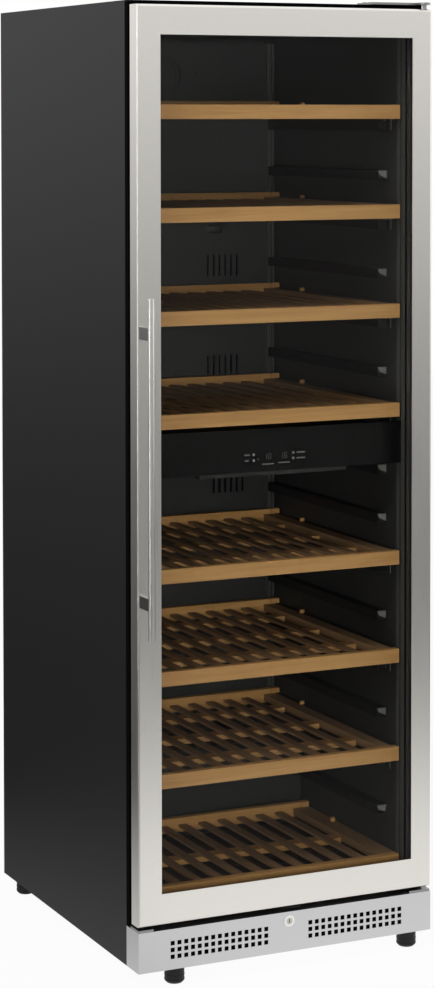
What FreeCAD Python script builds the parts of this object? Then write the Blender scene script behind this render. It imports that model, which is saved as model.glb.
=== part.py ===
import FreeCAD, Part
import math
import os
import re
import Sketcher

# Refrigerated wine display case, millimetres.
# X runs to the right, Y from the front to the back, Z up. The floor is Z = 0, and X = 0 and Y = 0
# are the middle of the whole outline, handle included.

SIZES = {
    # overall cabinet
    "cabinet_width": 595, "cabinet_depth": 680, "cabinet_top": 1760, "sheet": 1, "side_flange": 12,
    "back_recess": 2, "front_frame_depth": 14, "wall": 34.5, "ceiling_wall": 48, "rear_wall": 48,
    "liner": 2, "floor_foam": 28, "underfloor": 64, "hump_depth": 214, "hump_height": 267,
    "hump_wall": 31, "overrun": 5, "slide_gap": 0.3, "run_gap": 0.05,
    # feet and base
    "foot_height": 33, "foot_radius": 18, "foot_edge": 4, "stud_radius": 5, "stud_length": 22,
    "front_foot_back": 30, "rear_foot_back": 40, "left_foot_inset": 83, "right_foot_inset": 35,
    "rear_foot_inset": 31, "nut_radius": 9, "nut_height": 18, "tray_sheet": 1.5, "tray_front": 3,
    # plinth and its air holes
    "plinth_height": 73, "plinth_sheet": 1.2, "hole_size": 8, "hole_pitch_up": 12.3,
    "hole_first": 45, "hole_edge": 66.3, "hole_row_down": 25.5,
    # lock
    "lock_across": 1.5, "lock_down": 16.8, "lock_ring_radius": 10.5, "lock_ring_depth": 1.5,
    "lock_barrel_radius": 8.5, "lock_barrel_depth": 17, "lock_plug_radius": 6, "lock_plug_recess": 0.4,
    "key_slot_width": 1.6, "key_slot_height": 7, "key_slot_depth": 8, "cam_half": 6, "cam_depth": 3,
    "cam_bite": 7, "cam_gap": 2,
    # door
    "door_depth": 31, "door_gap": 9.6, "door_top_gap": 8.6, "stile_left": 45.4, "stile_right": 41.5,
    "rail_bottom": 55.7, "rail_top": 53, "skin": 1, "skin_radius": 4, "glass": 4, "glass_grip": 22,
    "glass_space": 16, "spacer_width": 10, "spacer_edge": 1, "glass_fit": 0.3, "core_lip": 12,
    "gasket_depth": 9, "gasket_inset": 17.5, "gasket_width": 14, "gasket_end_inset": 12,
    "gasket_bottom_inset": 3.4,
    # handle
    "handle_standoff": 45, "bar_radius": 6, "bar_length": 600, "bar_inset": 7,
    "post_spacing": 475, "post_width": 9, "post_height": 22, "handle_raise": 3, "handle_stud_radius": 2.5,
    "handle_stud": 18,
    # hinges
    "hinge_inset": 12, "hinge_back": 8, "hinge_plate": 4, "pin_radius": 4, "pin_end_gap": 1,
    "bush_wall": 2, "bush_length": 24, "top_plate_inner": 114.5, "top_plate_outer": 35.5,
    "top_plate_front": 22, "top_plate_back": 80, "hinge_arm_width": 22, "bottom_plate_width": 44,
    "bottom_plate_front": 2, "spare_plate_width": 30,
    "screw_head_radius": 3.6, "screw_head": 1.6, "screw_edge": 10,
    # shelves
    "top_bay": 136.3, "shelf_reach": 2, "shelf_side_gap": 4.5, "board": 26, "fascia_depth": 15,
    "strip_rise": 10, "shelf_rear_gap": 11, "hump_gap": 30, "slat_drop": 2.5, "slat": 5,
    "slat_width": 16.5, "slat_pitch": 39.9, "low_slat_pitch": 42, "rail_width": 35.5, "rail_height": 13.5,
    "runner_width": 15.5, "bar_thickness": 10, "bar_width": 30,
    "corner_block": 18.5, "block_split": 1.5, "peg_radius": 5, "peg_height": 7, "peg_back": 129,
    "peg_inset": 6, "low_bay": 70.6, "low_shelf_rise": 40,
    # ribs and guides on the side walls
    "rib_depth": 20, "rib_height": 18, "rib_front": 55, "rib_back": 6, "guide": 4, "guide_inset": 0.5,
    "guide_side": 2.8, "guide_rise": 9, "guide_front": 29, "guide_wall_gap": 0.4,
    # air duct on the rear wall
    "duct_depth": 52, "duct_side_gap": 23, "duct_sheet": 2.5, "duct_top_gap": 8, "duct_end_gap": 5,
    "slot_width": 5, "slot_height": 44, "slot_pitch": 13, "slot_inset": 97.5, "low_slot_inset": 85,
    "high_slot_rise": 345, "middle_slot_rise": 141, "low_slot_drop": 98, "sensor_radius": 4,
    "sensor_across": 80.5, "sensor_down": 72, "pip_radius": 2.5, "pip_inset": 81, "pip_pitch": 22.5,
    "pip_down": 204, "oval_inset": 114, "oval_down": 387, "oval_width": 33, "oval_height": 14,
    # round air filter in the upper cover
    "filter_across": 5, "filter_down": 76, "filter_radius": 51.3, "filter_rim": 2, "filter_lip": 4,
    "filter_depth": 30, "filter_groove": 3.5, "filter_groove_depth": 2.5, "filter_pitch": 9,
    # evaporator plates and their fans
    "plate": 1.6, "plate_inset": 40, "plate_down": 212, "plate_rise": 183, "low_plate_down": 207,
    "low_plate_rise": 90, "plate_tube": 4, "plate_standoff": 6, "fan_standoff": 8, "fan_boss": 4,
    "fan_size": 92, "fan_depth": 25, "fan_wall": 2, "fan_hub": 18, "fan_hub_depth": 18,
    "fan_tip_gap": 1.5, "blade_chord": 12, "blade_sheet": 1.6, "blade_rise": 14, "strut": 4,
    "motor_plate": 3, "shaft_radius": 1.5, "hub_gap": 1,
    # divider between the zones, with the controls
    "divider_rise": 1.86, "divider_seat": 19.8, "zone_gap": 112.5, "low_zone_gap": 72.9,
    "divider_face": 78, "divider_slab": 58, "divider_face_depth": 6,
    "divider_face_gap": 1, "divider_foot": 20, "pocket_half": 100, "pocket_bottom": 6,
    "pocket_height": 40, "pocket_depth": 14, "display_across": 0.3, "display_half": 29, "display_low": 13.6,
    "display_tall": 25,
    "display_recess": 0.3, "board_back": 10, "board_sheet": 1.6, "board_half": 94, "board_tall": 34,
    "standoff_radius": 3, "standoff_across": 86,
    "key_size": 5, "key_across": 40.3, "key_shift": 4.7, "key_middle": 26.4, "key_pitch": 10.6,
    "key_proud": 0.6,
    "key_flange": 1, "key_flange_edge": 1.2, "key_travel": 0.5, "switch_size": 4,
    # lights
    "light_half": 150, "light_depth": 20, "light_height": 9, "light_back": 6,
    # machine compartment
    "compressor_gap": 20.5, "compressor_height": 165, "compressor_shoulder": 30, "seam": 3,
    "seam_height": 8, "mount_height": 14, "mount_radius": 11, "mount_across": 62, "mount_edge": 18,
    "mount_hole": 4, "base_plate": 3, "base_half": 78, "condenser_half": 62, "condenser_depth": 32,
    "condenser_height": 128,
    "condenser_front_gap": 12, "condenser_lift": 8, "fin": 0.8, "fin_pitch": 6, "condenser_tube": 4,
    "tube_pitch": 24, "condenser_fan_size": 120,
    "tray_half": 90, "tray_edge": 15, "tray_height": 22, "tray_wall": 2,
    "box_left": 6, "box_width": 90, "box_depth": 90, "box_height": 130, "box_wall": 2.5,
    "louvre_width": 60, "louvre_height": 4, "louvre_pitch": 14,
    "louvre_low": 60, "louvre_gap": 80, "gland_inset": 87.5, "gland_high": 62, "gland_radius": 9,
    "gland_nut_radius": 12, "gland_bore": 4, "gland_length": 24, "gland_nut": 5,
    # pipes
    "pipe_radius": 3, "suction_radius": 4, "pipe_bend": 10, "pipe_spread": 7, "pipe_inset": 16,
    "pipe_drop": 24, "suction_drop": 74, "tee_wall": 1, "tee_half": 8, "drier_radius": 9,
    "drier_length": 90, "drier_lift": 25, "chase_half": 16, "chase_inset": 38, "chase_depth": 34,
}

PLACES = {
    "half_width": "cabinet_width / 2",
    "door_front": "(handle_standoff + bar_radius - cabinet_depth) / 2",
    "door_back": "door_front + door_depth",
    "frame_front": "door_back + gasket_depth",
    "shell_front": "frame_front + front_frame_depth",
    "cabinet_back": "door_front + cabinet_depth",
    "back_face": "cabinet_back - back_recess",
    "plinth_top": "foot_height + plinth_height",
    "door_bottom": "plinth_top + door_gap",
    "door_top": "cabinet_top - door_top_gap",
    "window_left": "stile_left - half_width",
    "window_right": "half_width - stile_right",
    "window_bottom": "door_bottom + rail_bottom",
    "window_top": "door_top - rail_top",
    "inner_half": "half_width - wall",
    "underfloor_top": "foot_height + underfloor",
    "floor_top": "underfloor_top + floor_foam + liner",
    "ceiling": "cabinet_top - ceiling_wall",
    "inner_back": "cabinet_back - rear_wall",
    "hump_front": "cabinet_back - hump_depth",
    "hump_top": "foot_height + hump_height",
    "machine_front": "hump_front + hump_wall",
    "machine_top": "hump_top - hump_wall",
    "tray_bottom": "foot_height + plinth_sheet",
    "tray_top": "tray_bottom + tray_sheet",
    "duct_front": "inner_back - duct_depth",
    "shelf_front": "shell_front - shelf_reach",
    "shelf_half": "inner_half - shelf_side_gap",
    "shelf_depth": "duct_front - shelf_rear_gap - shelf_front",
    "short_shelf_depth": "hump_front - hump_gap - shelf_front",
    "rail_inner": "shelf_half - rail_width",
    "top_shelf": "ceiling - top_bay",
    "divider_bottom": "(4 * hump_top + 3 * ceiling) / 7 + divider_rise",
    "upper_pitch": "(top_shelf - divider_bottom - zone_gap) / 6",
    "low_level": "hump_top + low_bay",
    "lower_pitch": "(divider_bottom - low_zone_gap - low_level) / 5",
    "low_shelf_top": "floor_top + low_shelf_rise",
    "guide_drop": "board + slide_gap + guide",
    "rib_start": "shell_front + rib_front",
    "rib_end": "duct_front - rib_back",
    "hinge_x": "half_width - hinge_inset",
    "hinge_y": "door_front + hinge_back",
    "bar_x": "bar_inset - half_width",
    "bar_y": "door_front - handle_standoff",
    "bar_middle": "(door_bottom + door_top) / 2 + handle_raise",
    "hole_pitch_across": "(half_width - hole_first - hole_edge) / 14",
    "lock_z": "plinth_top - lock_down",
    "cam_front": "door_front + lock_barrel_depth + slide_gap",
    "cam_back": "cam_front + cam_depth",
    "cam_tip": "door_bottom + cam_bite - lock_z",
    "glass_left": "window_left - glass_grip",
    "glass_right": "window_right + glass_grip",
    "glass_bottom": "window_bottom - glass_grip",
    "glass_top": "window_top + glass_grip",
    "outer_glass_front": "door_front + skin",
    "spacer_front": "outer_glass_front + glass",
    "inner_glass_front": "spacer_front + glass_space",
    "inner_glass_back": "inner_glass_front + glass",
    "divider_top": "divider_bottom + divider_face",
    "divider_front": "shelf_front + divider_face_depth",
    "key_row": "divider_bottom + key_middle",
    "key_flange_front": "divider_front + slide_gap",
    "key_stem_end": "key_flange_front + key_flange",
    "board_front": "divider_front + board_back",
    "fan_front": "duct_front + duct_sheet + fan_standoff",
    "duct_half": "inner_half - duct_side_gap",
    "slot_across": "duct_half - slot_inset",
    "low_slot_across": "duct_half - low_slot_inset",
    "slot_high": "divider_bottom + high_slot_rise",
    "slot_middle": "divider_bottom + middle_slot_rise",
    "slot_low": "divider_bottom - low_slot_drop",
    "pip_across": "duct_half - pip_inset",
    "oval_across": "duct_half - oval_inset",
    "plate_half": "duct_half - plate_inset",
    "plate_high_top": "ceiling - plate_down",
    "plate_high_bottom": "divider_bottom + plate_rise",
    "plate_low_top": "divider_bottom - low_plate_down",
    "plate_low_bottom": "hump_top + low_plate_rise",
    "plate_middle": "inner_back - plate_standoff - plate / 2",
    "chase_across": "inner_half - chase_inset",
    "riser_y": "inner_back + chase_depth / 2",
    "compressor_bottom": "tray_top + mount_height + base_plate",
    "compressor_across": "-4 * half_width / 15",
    "compressor_y": "(machine_front + back_face) / 2",
    "compressor_radius": "(back_face - machine_front) / 2 - compressor_gap",
    "mount_along": "compressor_radius - mount_edge",
    "condenser_across": "5 * half_width / 9",
    "liquid_across": "half_width / 15",
    "suction_across": "half_width / 10",
    "discharge_across": "half_width / 6",
    "gland_across": "gland_inset - half_width",
    "box_left_side": "sheet - half_width + box_left",
    "condenser_front": "machine_front + condenser_front_gap",
    "condenser_back": "condenser_front + condenser_depth",
    "condenser_bottom": "tray_top + condenser_lift",
    "condenser_middle": "condenser_bottom + condenser_height / 2",
}

# which shelf level, counted down from the top, each full shelf lies on
SHELF_LEVELS = (0, 2, 4, 6, 9, 11, 13)
RIB_LEVELS = 15
DIVIDER_LEVEL = 7
LOW_LEVEL = 13
BLADES = 7
HOLE_COLUMNS = 15
HOLE_ROWS = 3

# spots that several pieces share: the hinge line, the air filter and the lock
HINGE = ("hinge_x", "hinge_y")
FILTER = ("filter_across", "ceiling - filter_down")
LOCK = ("lock_across", "lock_z")

# the hollow in the rear insulation that the pipes climb, across and along
CHASE = (("chase_across - chase_half", "chase_across + chase_half"),
         ("inner_back + liner", "inner_back + chase_depth"))

doc = FreeCAD.newDocument("wine_cabinet")
NODES = []


def write_sizes():
    """The sheet of driving sizes, a row for each."""
    sheet = doc.addObject("Spreadsheet::Sheet", "Sizes")
    for row, (name, size) in enumerate(SIZES.items(), start=1):
        sheet.set(f"A{row}", name)
        sheet.set(f"B{row}", str(size))
        sheet.setAlias(f"B{row}", name)
    doc.recompute()


def formula(text):
    """Writes a formula out until each of its words is a cell of the sheet."""
    def written(found):
        word = found.group()
        if word in PLACES:
            return "(" + formula(PLACES[word]) + ")"
        return "Sizes." + word if word in SIZES else word
    return re.sub(r"[a-z][a-z_0-9]*", written, str(text))


def place(piece, x, y, z):
    """Binds where a piece starts, or its centre for a turned one."""
    for field, text in (("x", x), ("y", y), ("z", z)):
        piece.setExpression("Placement.Base." + field, formula(text))
    return piece


def box(name, across, along, up):
    """A block from its low and high face in X, Y and Z."""
    piece = doc.addObject("Part::Box", name)
    for field, (low, high) in (("Length", across), ("Width", along), ("Height", up)):
        piece.setExpression(field, formula(f"({high}) - ({low})"))
    return place(piece, across[0], along[0], up[0])


def rod(name, axis, radius, start, end, centre):
    """A cylinder along X, Y or Z from start to end. centre gives the other two places in X, Y, Z order."""
    piece = doc.addObject("Part::Cylinder", name)
    piece.setExpression("Radius", formula(radius))
    piece.setExpression("Height", formula(f"({end}) - ({start})"))
    turns = {"x": (0, 1, 0, 90), "y": (1, 0, 0, -90), "z": (0, 0, 1, 0)}
    tilt = turns[axis]
    piece.Placement.Rotation = FreeCAD.Rotation(FreeCAD.Vector(*tilt[:3]), tilt[3])
    spots = {"x": (start, *centre), "y": (centre[0], start, centre[1]), "z": (*centre, start)}
    return place(piece, *spots[axis])


def group(name, pieces):
    """Separate solids that share one node."""
    piece = doc.addObject("Part::Compound", name)
    piece.Links = pieces
    return piece


def fuse(name, pieces):
    piece = doc.addObject("Part::MultiFuse", name)
    piece.Shapes = pieces
    return piece


def cut(name, base, tools):
    """base less the tools, which may overlap each other."""
    piece = doc.addObject("Part::Cut", name)
    piece.Base = base
    piece.Tool = tools[0] if len(tools) == 1 else fuse(name + "_tools", tools)
    return piece


def drill(name, base, tools):
    """base less many holes that stand clear of each other."""
    piece = doc.addObject("Part::Cut", name)
    piece.Base = base
    piece.Tool = group(name + "_holes", tools)
    return piece


def node(piece, label):
    """Marks a finished sub-part, whose label names its file."""
    piece.Label = label
    NODES.append(piece)
    return piece


def new_body(name):
    return doc.addObject("PartDesign::Body", name)


def origin_part(body, role):
    return next(feature for feature in body.Origin.OriginFeatures if feature.Role == role)


def extrude(body, kind, name, role, start, end):
    """A Pad or Pocket between two places along the normal of an origin plane. Returns its sketch."""
    sketch = body.newObject("Sketcher::SketchObject", name + "_sketch")
    sketch.AttachmentSupport = [(origin_part(body, role), "")]
    sketch.MapMode = "FlatFace"
    towards = -1 if role == "XZ_Plane" else 1
    sketch.setExpression("AttachmentOffset.Base.z", formula(f"{towards} * ({start})"))
    feature = body.newObject("PartDesign::" + kind, name)
    feature.Profile = sketch
    feature.setExpression("Length", formula(f"({end}) - ({start})"))
    feature.Reversed = (kind == "Pad") == (role == "XZ_Plane")
    return sketch, feature


def pad_outline(body, name, role, start, end, points):
    """A padded sketch with a closed line through the points."""
    sketch, feature = extrude(body, "Pad", name, role, start, end)
    outline(sketch, points)
    return feature


def pad_block(body, name, role, start, end, across, up):
    """A padded rectangle."""
    sketch, feature = extrude(body, "Pad", name, role, start, end)
    rectangle(sketch, across, up)
    return feature


def pocket_block(body, name, role, start, end, across, up):
    """A rectangular pocket."""
    sketch, feature = extrude(body, "Pocket", name, role, start, end)
    rectangle(sketch, across, up)
    return feature


def disc(body, kind, name, role, start, end, spots, radius):
    """Round pads or pockets of one radius at one or more spots."""
    sketch, feature = extrude(body, kind, name, role, start, end)
    for across, up in spots:
        circle(sketch, across, up, radius)
    return feature


def outline(sketch, points):
    """A closed outline of straight lines. Each corner is held by two bound distances."""
    first = sketch.GeometryCount
    count = len(points)
    rough = [FreeCAD.Vector(math.cos(2 * math.pi * turn / count), math.sin(2 * math.pi * turn / count), 0)
             for turn in range(count)]
    for corner in range(count):
        sketch.addGeometry(Part.LineSegment(rough[corner], rough[(corner + 1) % count]), False)
    for corner in range(count):
        following = first + (corner + 1) % count
        sketch.addConstraint(Sketcher.Constraint("Coincident", first + corner, 2, following, 1))
    for corner, (across, up) in enumerate(points):
        for kind, text in (("DistanceX", across), ("DistanceY", up)):
            index = sketch.addConstraint(Sketcher.Constraint(kind, -1, 1, first + corner, 1, 1.0))
            sketch.setExpression(f"Constraints[{index}]", formula(text))


def around(middle, half):
    """The span that reaches half to each side of the middle."""
    return f"{middle} - {half}", f"{middle} + {half}"


def rectangle(sketch, across, up):
    """A closed outline from its low and high edge each way."""
    outline(sketch, [(across[0], up[0]), (across[1], up[0]), (across[1], up[1]), (across[0], up[1])])


def circle(sketch, across, up, radius):
    """A circle held by its centre and its radius."""
    index = sketch.addGeometry(Part.Circle(FreeCAD.Vector(0, 0, 0), FreeCAD.Vector(0, 0, 1), 1.0), False)
    for kind, text in (("DistanceX", across), ("DistanceY", up)):
        held = sketch.addConstraint(Sketcher.Constraint(kind, -1, 1, index, 3, 1.0))
        sketch.setExpression(f"Constraints[{held}]", formula(text))
    held = sketch.addConstraint(Sketcher.Constraint("Radius", index, 1.0))
    sketch.setExpression(f"Constraints[{held}]", formula(radius))


def revolve(body, name, points):
    """A turned solid from its outline of (radius, height) corners about the body's own Z axis."""
    sketch = body.newObject("Sketcher::SketchObject", name + "_sketch")
    sketch.AttachmentSupport = [(origin_part(body, "XZ_Plane"), "")]
    sketch.MapMode = "FlatFace"
    outline(sketch, points)
    feature = body.newObject("PartDesign::Revolution", name)
    feature.Profile = sketch
    feature.ReferenceAxis = (sketch, ["V_Axis"])
    feature.Angle = 360
    return feature


def ring(name, outer, inner, along):
    """A rectangular frame seen from the front: outer and inner are ((left, right), (low, high))."""
    hole = box(name + "_hole", inner[0], (f"{along[0]} - overrun", f"{along[1]} + overrun"), inner[1])
    return cut(name, box(name + "_block", outer[0], along, outer[1]), [hole])


def mirrored(low, high):
    """The same span on the left and on the right of the cabinet."""
    return ((f"-({high})", f"-({low})"), (low, high))


AXES = {"x": FreeCAD.Vector(1, 0, 0), "y": FreeCAD.Vector(0, 1, 0), "z": FreeCAD.Vector(0, 0, 1)}


def pipe(name, radius, start, moves):
    """A tube from start, bent square between its moves. Each move is an axis, a way and the place it ends."""
    spot = dict(zip("xyz", start))
    pieces = []
    begin = spot[moves[0][0]]
    for number, (axis, way, stop) in enumerate(moves):
        last = number + 1 == len(moves)
        run_end = stop if last else f"{stop} - {way} * pipe_bend"
        low, high = (begin, run_end) if way > 0 else (run_end, begin)
        others = [spot[other] for other in "xyz" if other != axis]
        pieces.append(rod(f"{name}_run_{number}", axis, radius, low, high, others))
        spot[axis] = stop
        if not last:
            going = moves[number + 1][:2]
            pieces.append(elbow(f"{name}_bend_{number}", radius, spot, (axis, way), going))
            begin = f"{spot[going[0]]} + {going[1]} * pipe_bend"
    return pieces


def elbow(name, radius, corner, coming, going):
    """A quarter bend at a corner, from one axis and way to the next."""
    piece = doc.addObject("Part::Torus", name)
    piece.setExpression("Radius1", formula("pipe_bend"))
    piece.setExpression("Radius2", formula(radius))
    piece.Angle3 = 90
    inward = AXES[coming[0]] * coming[1]
    outward = AXES[going[0]] * going[1]
    piece.Placement.Rotation = FreeCAD.Rotation(-outward, inward, inward.cross(outward), "XYZ")
    centre = dict(corner)
    centre[coming[0]] = f"{corner[coming[0]]} - {coming[1]} * pipe_bend"
    centre[going[0]] = f"{corner[going[0]]} + {going[1]} * pipe_bend"
    return place(piece, *centre.values())


def cabinet_shell():
    """Steel outer shell: two side panels, top, back, and the base with its stepped floor sheet."""
    for label, side in (("side_panel_left", -1), ("side_panel_right", 1)):
        body = new_body(label)
        far = f"{side} * half_width"
        skin_in = f"{side} * (half_width - sheet)"
        flange = f"{side} * (half_width - side_flange)"
        corners = [
            (far, "shell_front"), (far, "cabinet_back"), (flange, "cabinet_back"),
            (flange, "cabinet_back - sheet"), (skin_in, "cabinet_back - sheet"),
            (skin_in, "shell_front + sheet"), (flange, "shell_front + sheet"), (flange, "shell_front"),
        ]
        pad_outline(body, label + "_pad", "XY_Plane", "foot_height", "cabinet_top - sheet",
                    corners if side > 0 else corners[::-1])
        node(body, label)

    across = ("side_flange - half_width + sheet", "half_width - side_flange - sheet")
    folds = ("cabinet_top - side_flange", "cabinet_top - sheet")
    node(fuse("top_panel", [
        box("top_sheet", ("-half_width", "half_width"), ("shell_front", "cabinet_back"),
            ("cabinet_top - sheet", "cabinet_top")),
        box("top_front_fold", across, ("shell_front", "shell_front + sheet"), folds),
        box("top_back_fold", across, ("cabinet_back - sheet", "cabinet_back"), folds),
    ]), "top_panel")

    inside = ("sheet - half_width", "half_width - sheet")
    node(box("rear_panel", inside, ("back_face - sheet", "back_face"),
             ("machine_top", "cabinet_top - sheet")), "rear_panel")
    base_frame(inside)
    foam(inside)


def foot_spots():
    """Centres of the feet: front left, front right, rear left, rear right."""
    return (
        ("left_foot_inset - half_width", "door_front + front_foot_back"),
        ("half_width - right_foot_inset", "door_front + front_foot_back"),
        ("rear_foot_inset - half_width", "cabinet_back - rear_foot_back"),
        ("half_width - rear_foot_inset", "cabinet_back - rear_foot_back"),
    )


def base_frame(inside):
    """Base tray with a clinch nut over each foot, and the stepped sheet under the insulation."""
    inset = ("side_flange - half_width", "half_width - side_flange")
    blank = [box("base_sheet", inset, ("door_front + tray_front", "back_face - sheet"),
                 ("tray_bottom", "tray_top"))]
    bores = []
    for corner, (across, along) in enumerate(foot_spots(), start=1):
        blank.append(rod(f"foot_nut_{corner}", "z", "nut_radius", "tray_bottom", "tray_top + nut_height",
                         (across, along)))
        bores.append(rod(f"foot_bore_{corner}", "z", "stud_radius + run_gap", "foot_height - overrun",
                         "tray_top + nut_height + overrun", (across, along)))
    tray = drill("base_plate_tray", fuse("base_blank", blank), bores)
    step = new_body("floor_sheet")
    pad_outline(step, "floor_sheet_pad", "YZ_Plane", *inside, [
        ("shell_front + sheet", "underfloor_top - sheet"),
        ("machine_front + sheet", "underfloor_top - sheet"),
        ("machine_front + sheet", "machine_top - sheet"),
        ("back_face - sheet", "machine_top - sheet"), ("back_face - sheet", "machine_top"),
        ("machine_front", "machine_top"), ("machine_front", "underfloor_top"),
        ("shell_front + sheet", "underfloor_top"),
    ])
    pocket_block(step, "riser_opening", "XY_Plane", "machine_top - sheet", "machine_top", *CHASE)
    node(group("base_tray", [tray, step]), "base_tray")


def foam(inside):
    """Foamed-in insulation between shell and liner, with the chase for the pipes."""
    block = box("foam_block", inside, ("shell_front + sheet", "back_face - sheet"),
                ("underfloor_top", "cabinet_top - sheet"))
    room = box("foam_room", ("-inner_half - liner", "inner_half + liner"),
               ("shell_front - overrun", "inner_back + liner"), ("floor_top - liner", "ceiling + liner"))
    hump = box("foam_hump", ("-inner_half", "inner_half"), ("hump_front + liner", "inner_back + liner"),
               ("floor_top - liner", "hump_top - liner"))
    machine = box("foam_machine", ("-half_width", "half_width"), ("machine_front", "cabinet_back"),
                  ("underfloor_top - overrun", "machine_top"))
    chase = box("foam_chase", *CHASE, ("machine_top - overrun", "plate_high_top"))
    node(cut("foam_insulation", fuse("foam_blank", [cut("foam_hollow", block, [room]), hump]),
             [machine, chase]), "foam_insulation")


def liner_and_frame():
    """Plastic liner as its flat walls, and the black frame that closes its front edge."""
    depth = ("shell_front", "inner_back + liner")
    low_depth = ("shell_front", "hump_front + liner")
    low = "floor_top - liner"
    step = "hump_top - liner"
    inner = ("-inner_half", "inner_half")
    walls = []
    for side, across in zip(("left", "right"), mirrored("inner_half", "inner_half + liner")):
        walls.append(box("liner_" + side, across, depth, (step, "ceiling + liner")))
        walls.append(box("liner_low_" + side, across, low_depth, (low, step)))
    walls += [
        box("liner_ceiling", inner, depth, ("ceiling", "ceiling + liner")),
        box("liner_floor", inner, ("shell_front", "hump_front"), (low, "floor_top")),
        box("liner_hump_front", inner, ("hump_front", "hump_front + liner"), (low, "hump_top")),
        box("liner_hump_top", inner, ("hump_front + liner", "inner_back"), (step, "hump_top")),
    ]
    back = box("liner_back_sheet", inner, ("inner_back", "inner_back + liner"), (step, "ceiling"))
    pipe_holes = [
        rod(f"liner_pipe_hole_{number}", "y", "suction_radius + sheet", "inner_back - overrun",
            "inner_back + overrun", spot)
        for number, spot in enumerate(pipe_spots(), start=1)
    ]
    walls.append(drill("liner_back", back, pipe_holes))
    node(group("inner_liner", walls), "inner_liner")
    node(ring("front_frame", (("-half_width", "half_width"), ("plinth_top", "cabinet_top")),
              (("-inner_half", "inner_half"), ("floor_top", "ceiling")), ("frame_front", "shell_front")),
         "front_frame")


def shelf_top(level):
    """Top face of a shelf on a level. The two zones share out the levels above and below the divider."""
    if level < DIVIDER_LEVEL:
        return f"(top_shelf - {level} * upper_pitch)"
    if level == DIVIDER_LEVEL:
        return "(divider_bottom + divider_seat)"
    return f"(low_level + {LOW_LEVEL - level} * lower_pitch)"


def pipe_spots():
    """Where the liquid and suction pipes pass the liner, upper pair first."""
    liquid = "chase_across + pipe_spread"
    suction = "chase_across - pipe_spread"
    return ((liquid, "plate_high_top - pipe_inset"), (suction, "plate_high_bottom + pipe_inset"),
            (liquid, "plate_low_top - pipe_inset"), (suction, "plate_low_bottom + pipe_inset"))


def ribs_and_guides():
    """Moulded ribs at every level, and the guide strips under the shelves in use."""
    ribs = []
    for level in range(RIB_LEVELS):
        top = f"{shelf_top(level)} - guide_drop"
        span = (f"{top} - rib_height", top)
        end = "hump_front" if level > LOW_LEVEL else "rib_end"
        for side, across in zip(("left", "right"), mirrored("inner_half - rib_depth", "inner_half")):
            ribs.append(box(f"rib_{side}_{level + 1}", across, ("rib_start", end), span))
    node(group("shelf_ribs", ribs), "shelf_ribs")

    guides = []
    rows = [(shelf_top(level), f"{shelf_top(level)} - guide_drop", "rib_end")
            for level in SHELF_LEVELS]
    rows.append(("low_shelf_top", "floor_top", "hump_front"))
    for number, (top, bottom, end) in enumerate(rows, start=1):
        seat = f"{top} - board - slide_gap"
        along = ("rib_start - guide_front", end)
        flat = mirrored("inner_half - rib_depth + guide_inset", "inner_half - guide_wall_gap")
        upright = mirrored("inner_half - guide_wall_gap - guide_side", "inner_half - guide_wall_gap")
        for side, low, high in zip(("left", "right"), flat, upright):
            guides.append(box(f"guide_{side}_{number}", low, along, (bottom, seat)))
            guides.append(box(f"guide_stop_{side}_{number}", high, along, (seat, f"{seat} + guide_rise")))
    node(group("shelf_guides", guides), "shelf_guides")


def shelf(number, top, depth, pitch, bars):
    """One wooden shelf, each board its own solid. The runners under its side rails slide on the guides."""
    name = f"shelf_{number}"
    back = f"shelf_front + {depth}"
    behind_fascia = "shelf_front + fascia_depth"
    before_strip = f"{back} - fascia_depth"
    slat_top = f"{top} - slat_drop"
    slat_bottom = f"{top} - slat_drop - slat"
    bottom = f"{top} - board"
    raised = (f"{slat_bottom} - bar_thickness", f"{top} + strip_rise")
    boards = [
        box(name + "_fascia", ("-shelf_half", "shelf_half"), ("shelf_front", behind_fascia), (bottom, top)),
        box(name + "_strip", around("0", "(shelf_half - corner_block - block_split)"),
            (before_strip, back), raised),
    ]
    for side, across in zip(("left", "right"), mirrored("rail_inner", "shelf_half")):
        boards.append(box(f"{name}_rail_{side}", across, (behind_fascia, before_strip),
                          (f"{top} - rail_height", top)))
    for side, across in zip(("left", "right"), mirrored("shelf_half - runner_width", "shelf_half")):
        boards.append(box(f"{name}_runner_{side}", across, (behind_fascia, before_strip),
                          (bottom, f"{top} - rail_height")))
    for side, across in zip(("left", "right"), mirrored("shelf_half - corner_block", "shelf_half")):
        boards.append(box(f"{name}_block_{side}", across, (before_strip, back), raised))
    starts = [f"{behind_fascia} + {share} * ({depth} - 2 * fascia_depth)" for share in bars]
    for row, start in enumerate(starts, start=1):
        boards.append(box(f"{name}_crossbar_{row}", ("-rail_inner", "rail_inner"),
                          (start, f"{start} + bar_width"),
                          (f"{slat_bottom} - bar_thickness", slat_bottom)))
    for slat in range(10):
        middle = f"({slat} - 4.5) * {pitch}"
        boards.append(box(f"{name}_slat_{slat + 1}", around(middle, "slat_width / 2"),
                          (behind_fascia, before_strip), (slat_bottom, slat_top)))
    boards.append(rod(name + "_peg", "z", "peg_radius", top, f"{top} + peg_height",
                      ("shelf_half - peg_inset", f"{back} - peg_back")))
    node(group(name, boards), name)


def shelves():
    """Seven full shelves and the short one in front of the step, with their crossbars."""
    for number, level in enumerate(SHELF_LEVELS, start=1):
        shelf(number, shelf_top(level), "shelf_depth", "slat_pitch", (0.1834, 0.4934, 0.8045))
    shelf(len(SHELF_LEVELS) + 1, "low_shelf_top", "short_shelf_depth", "low_slat_pitch", (0.422,))


def slot_row(name, height, across, along):
    """Six upright air slots on each side of the duct cover."""
    slots = []
    for side in (-1, 1):
        for slot in range(6):
            middle = f"{side} * {across} + ({slot} - 2.5) * slot_pitch"
            slots.append(box(f"{name}_slot_{side + 2}_{slot}", around(middle, "slot_width / 2"), along,
                             around(height, "slot_height / 2")))
    return slots


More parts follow.
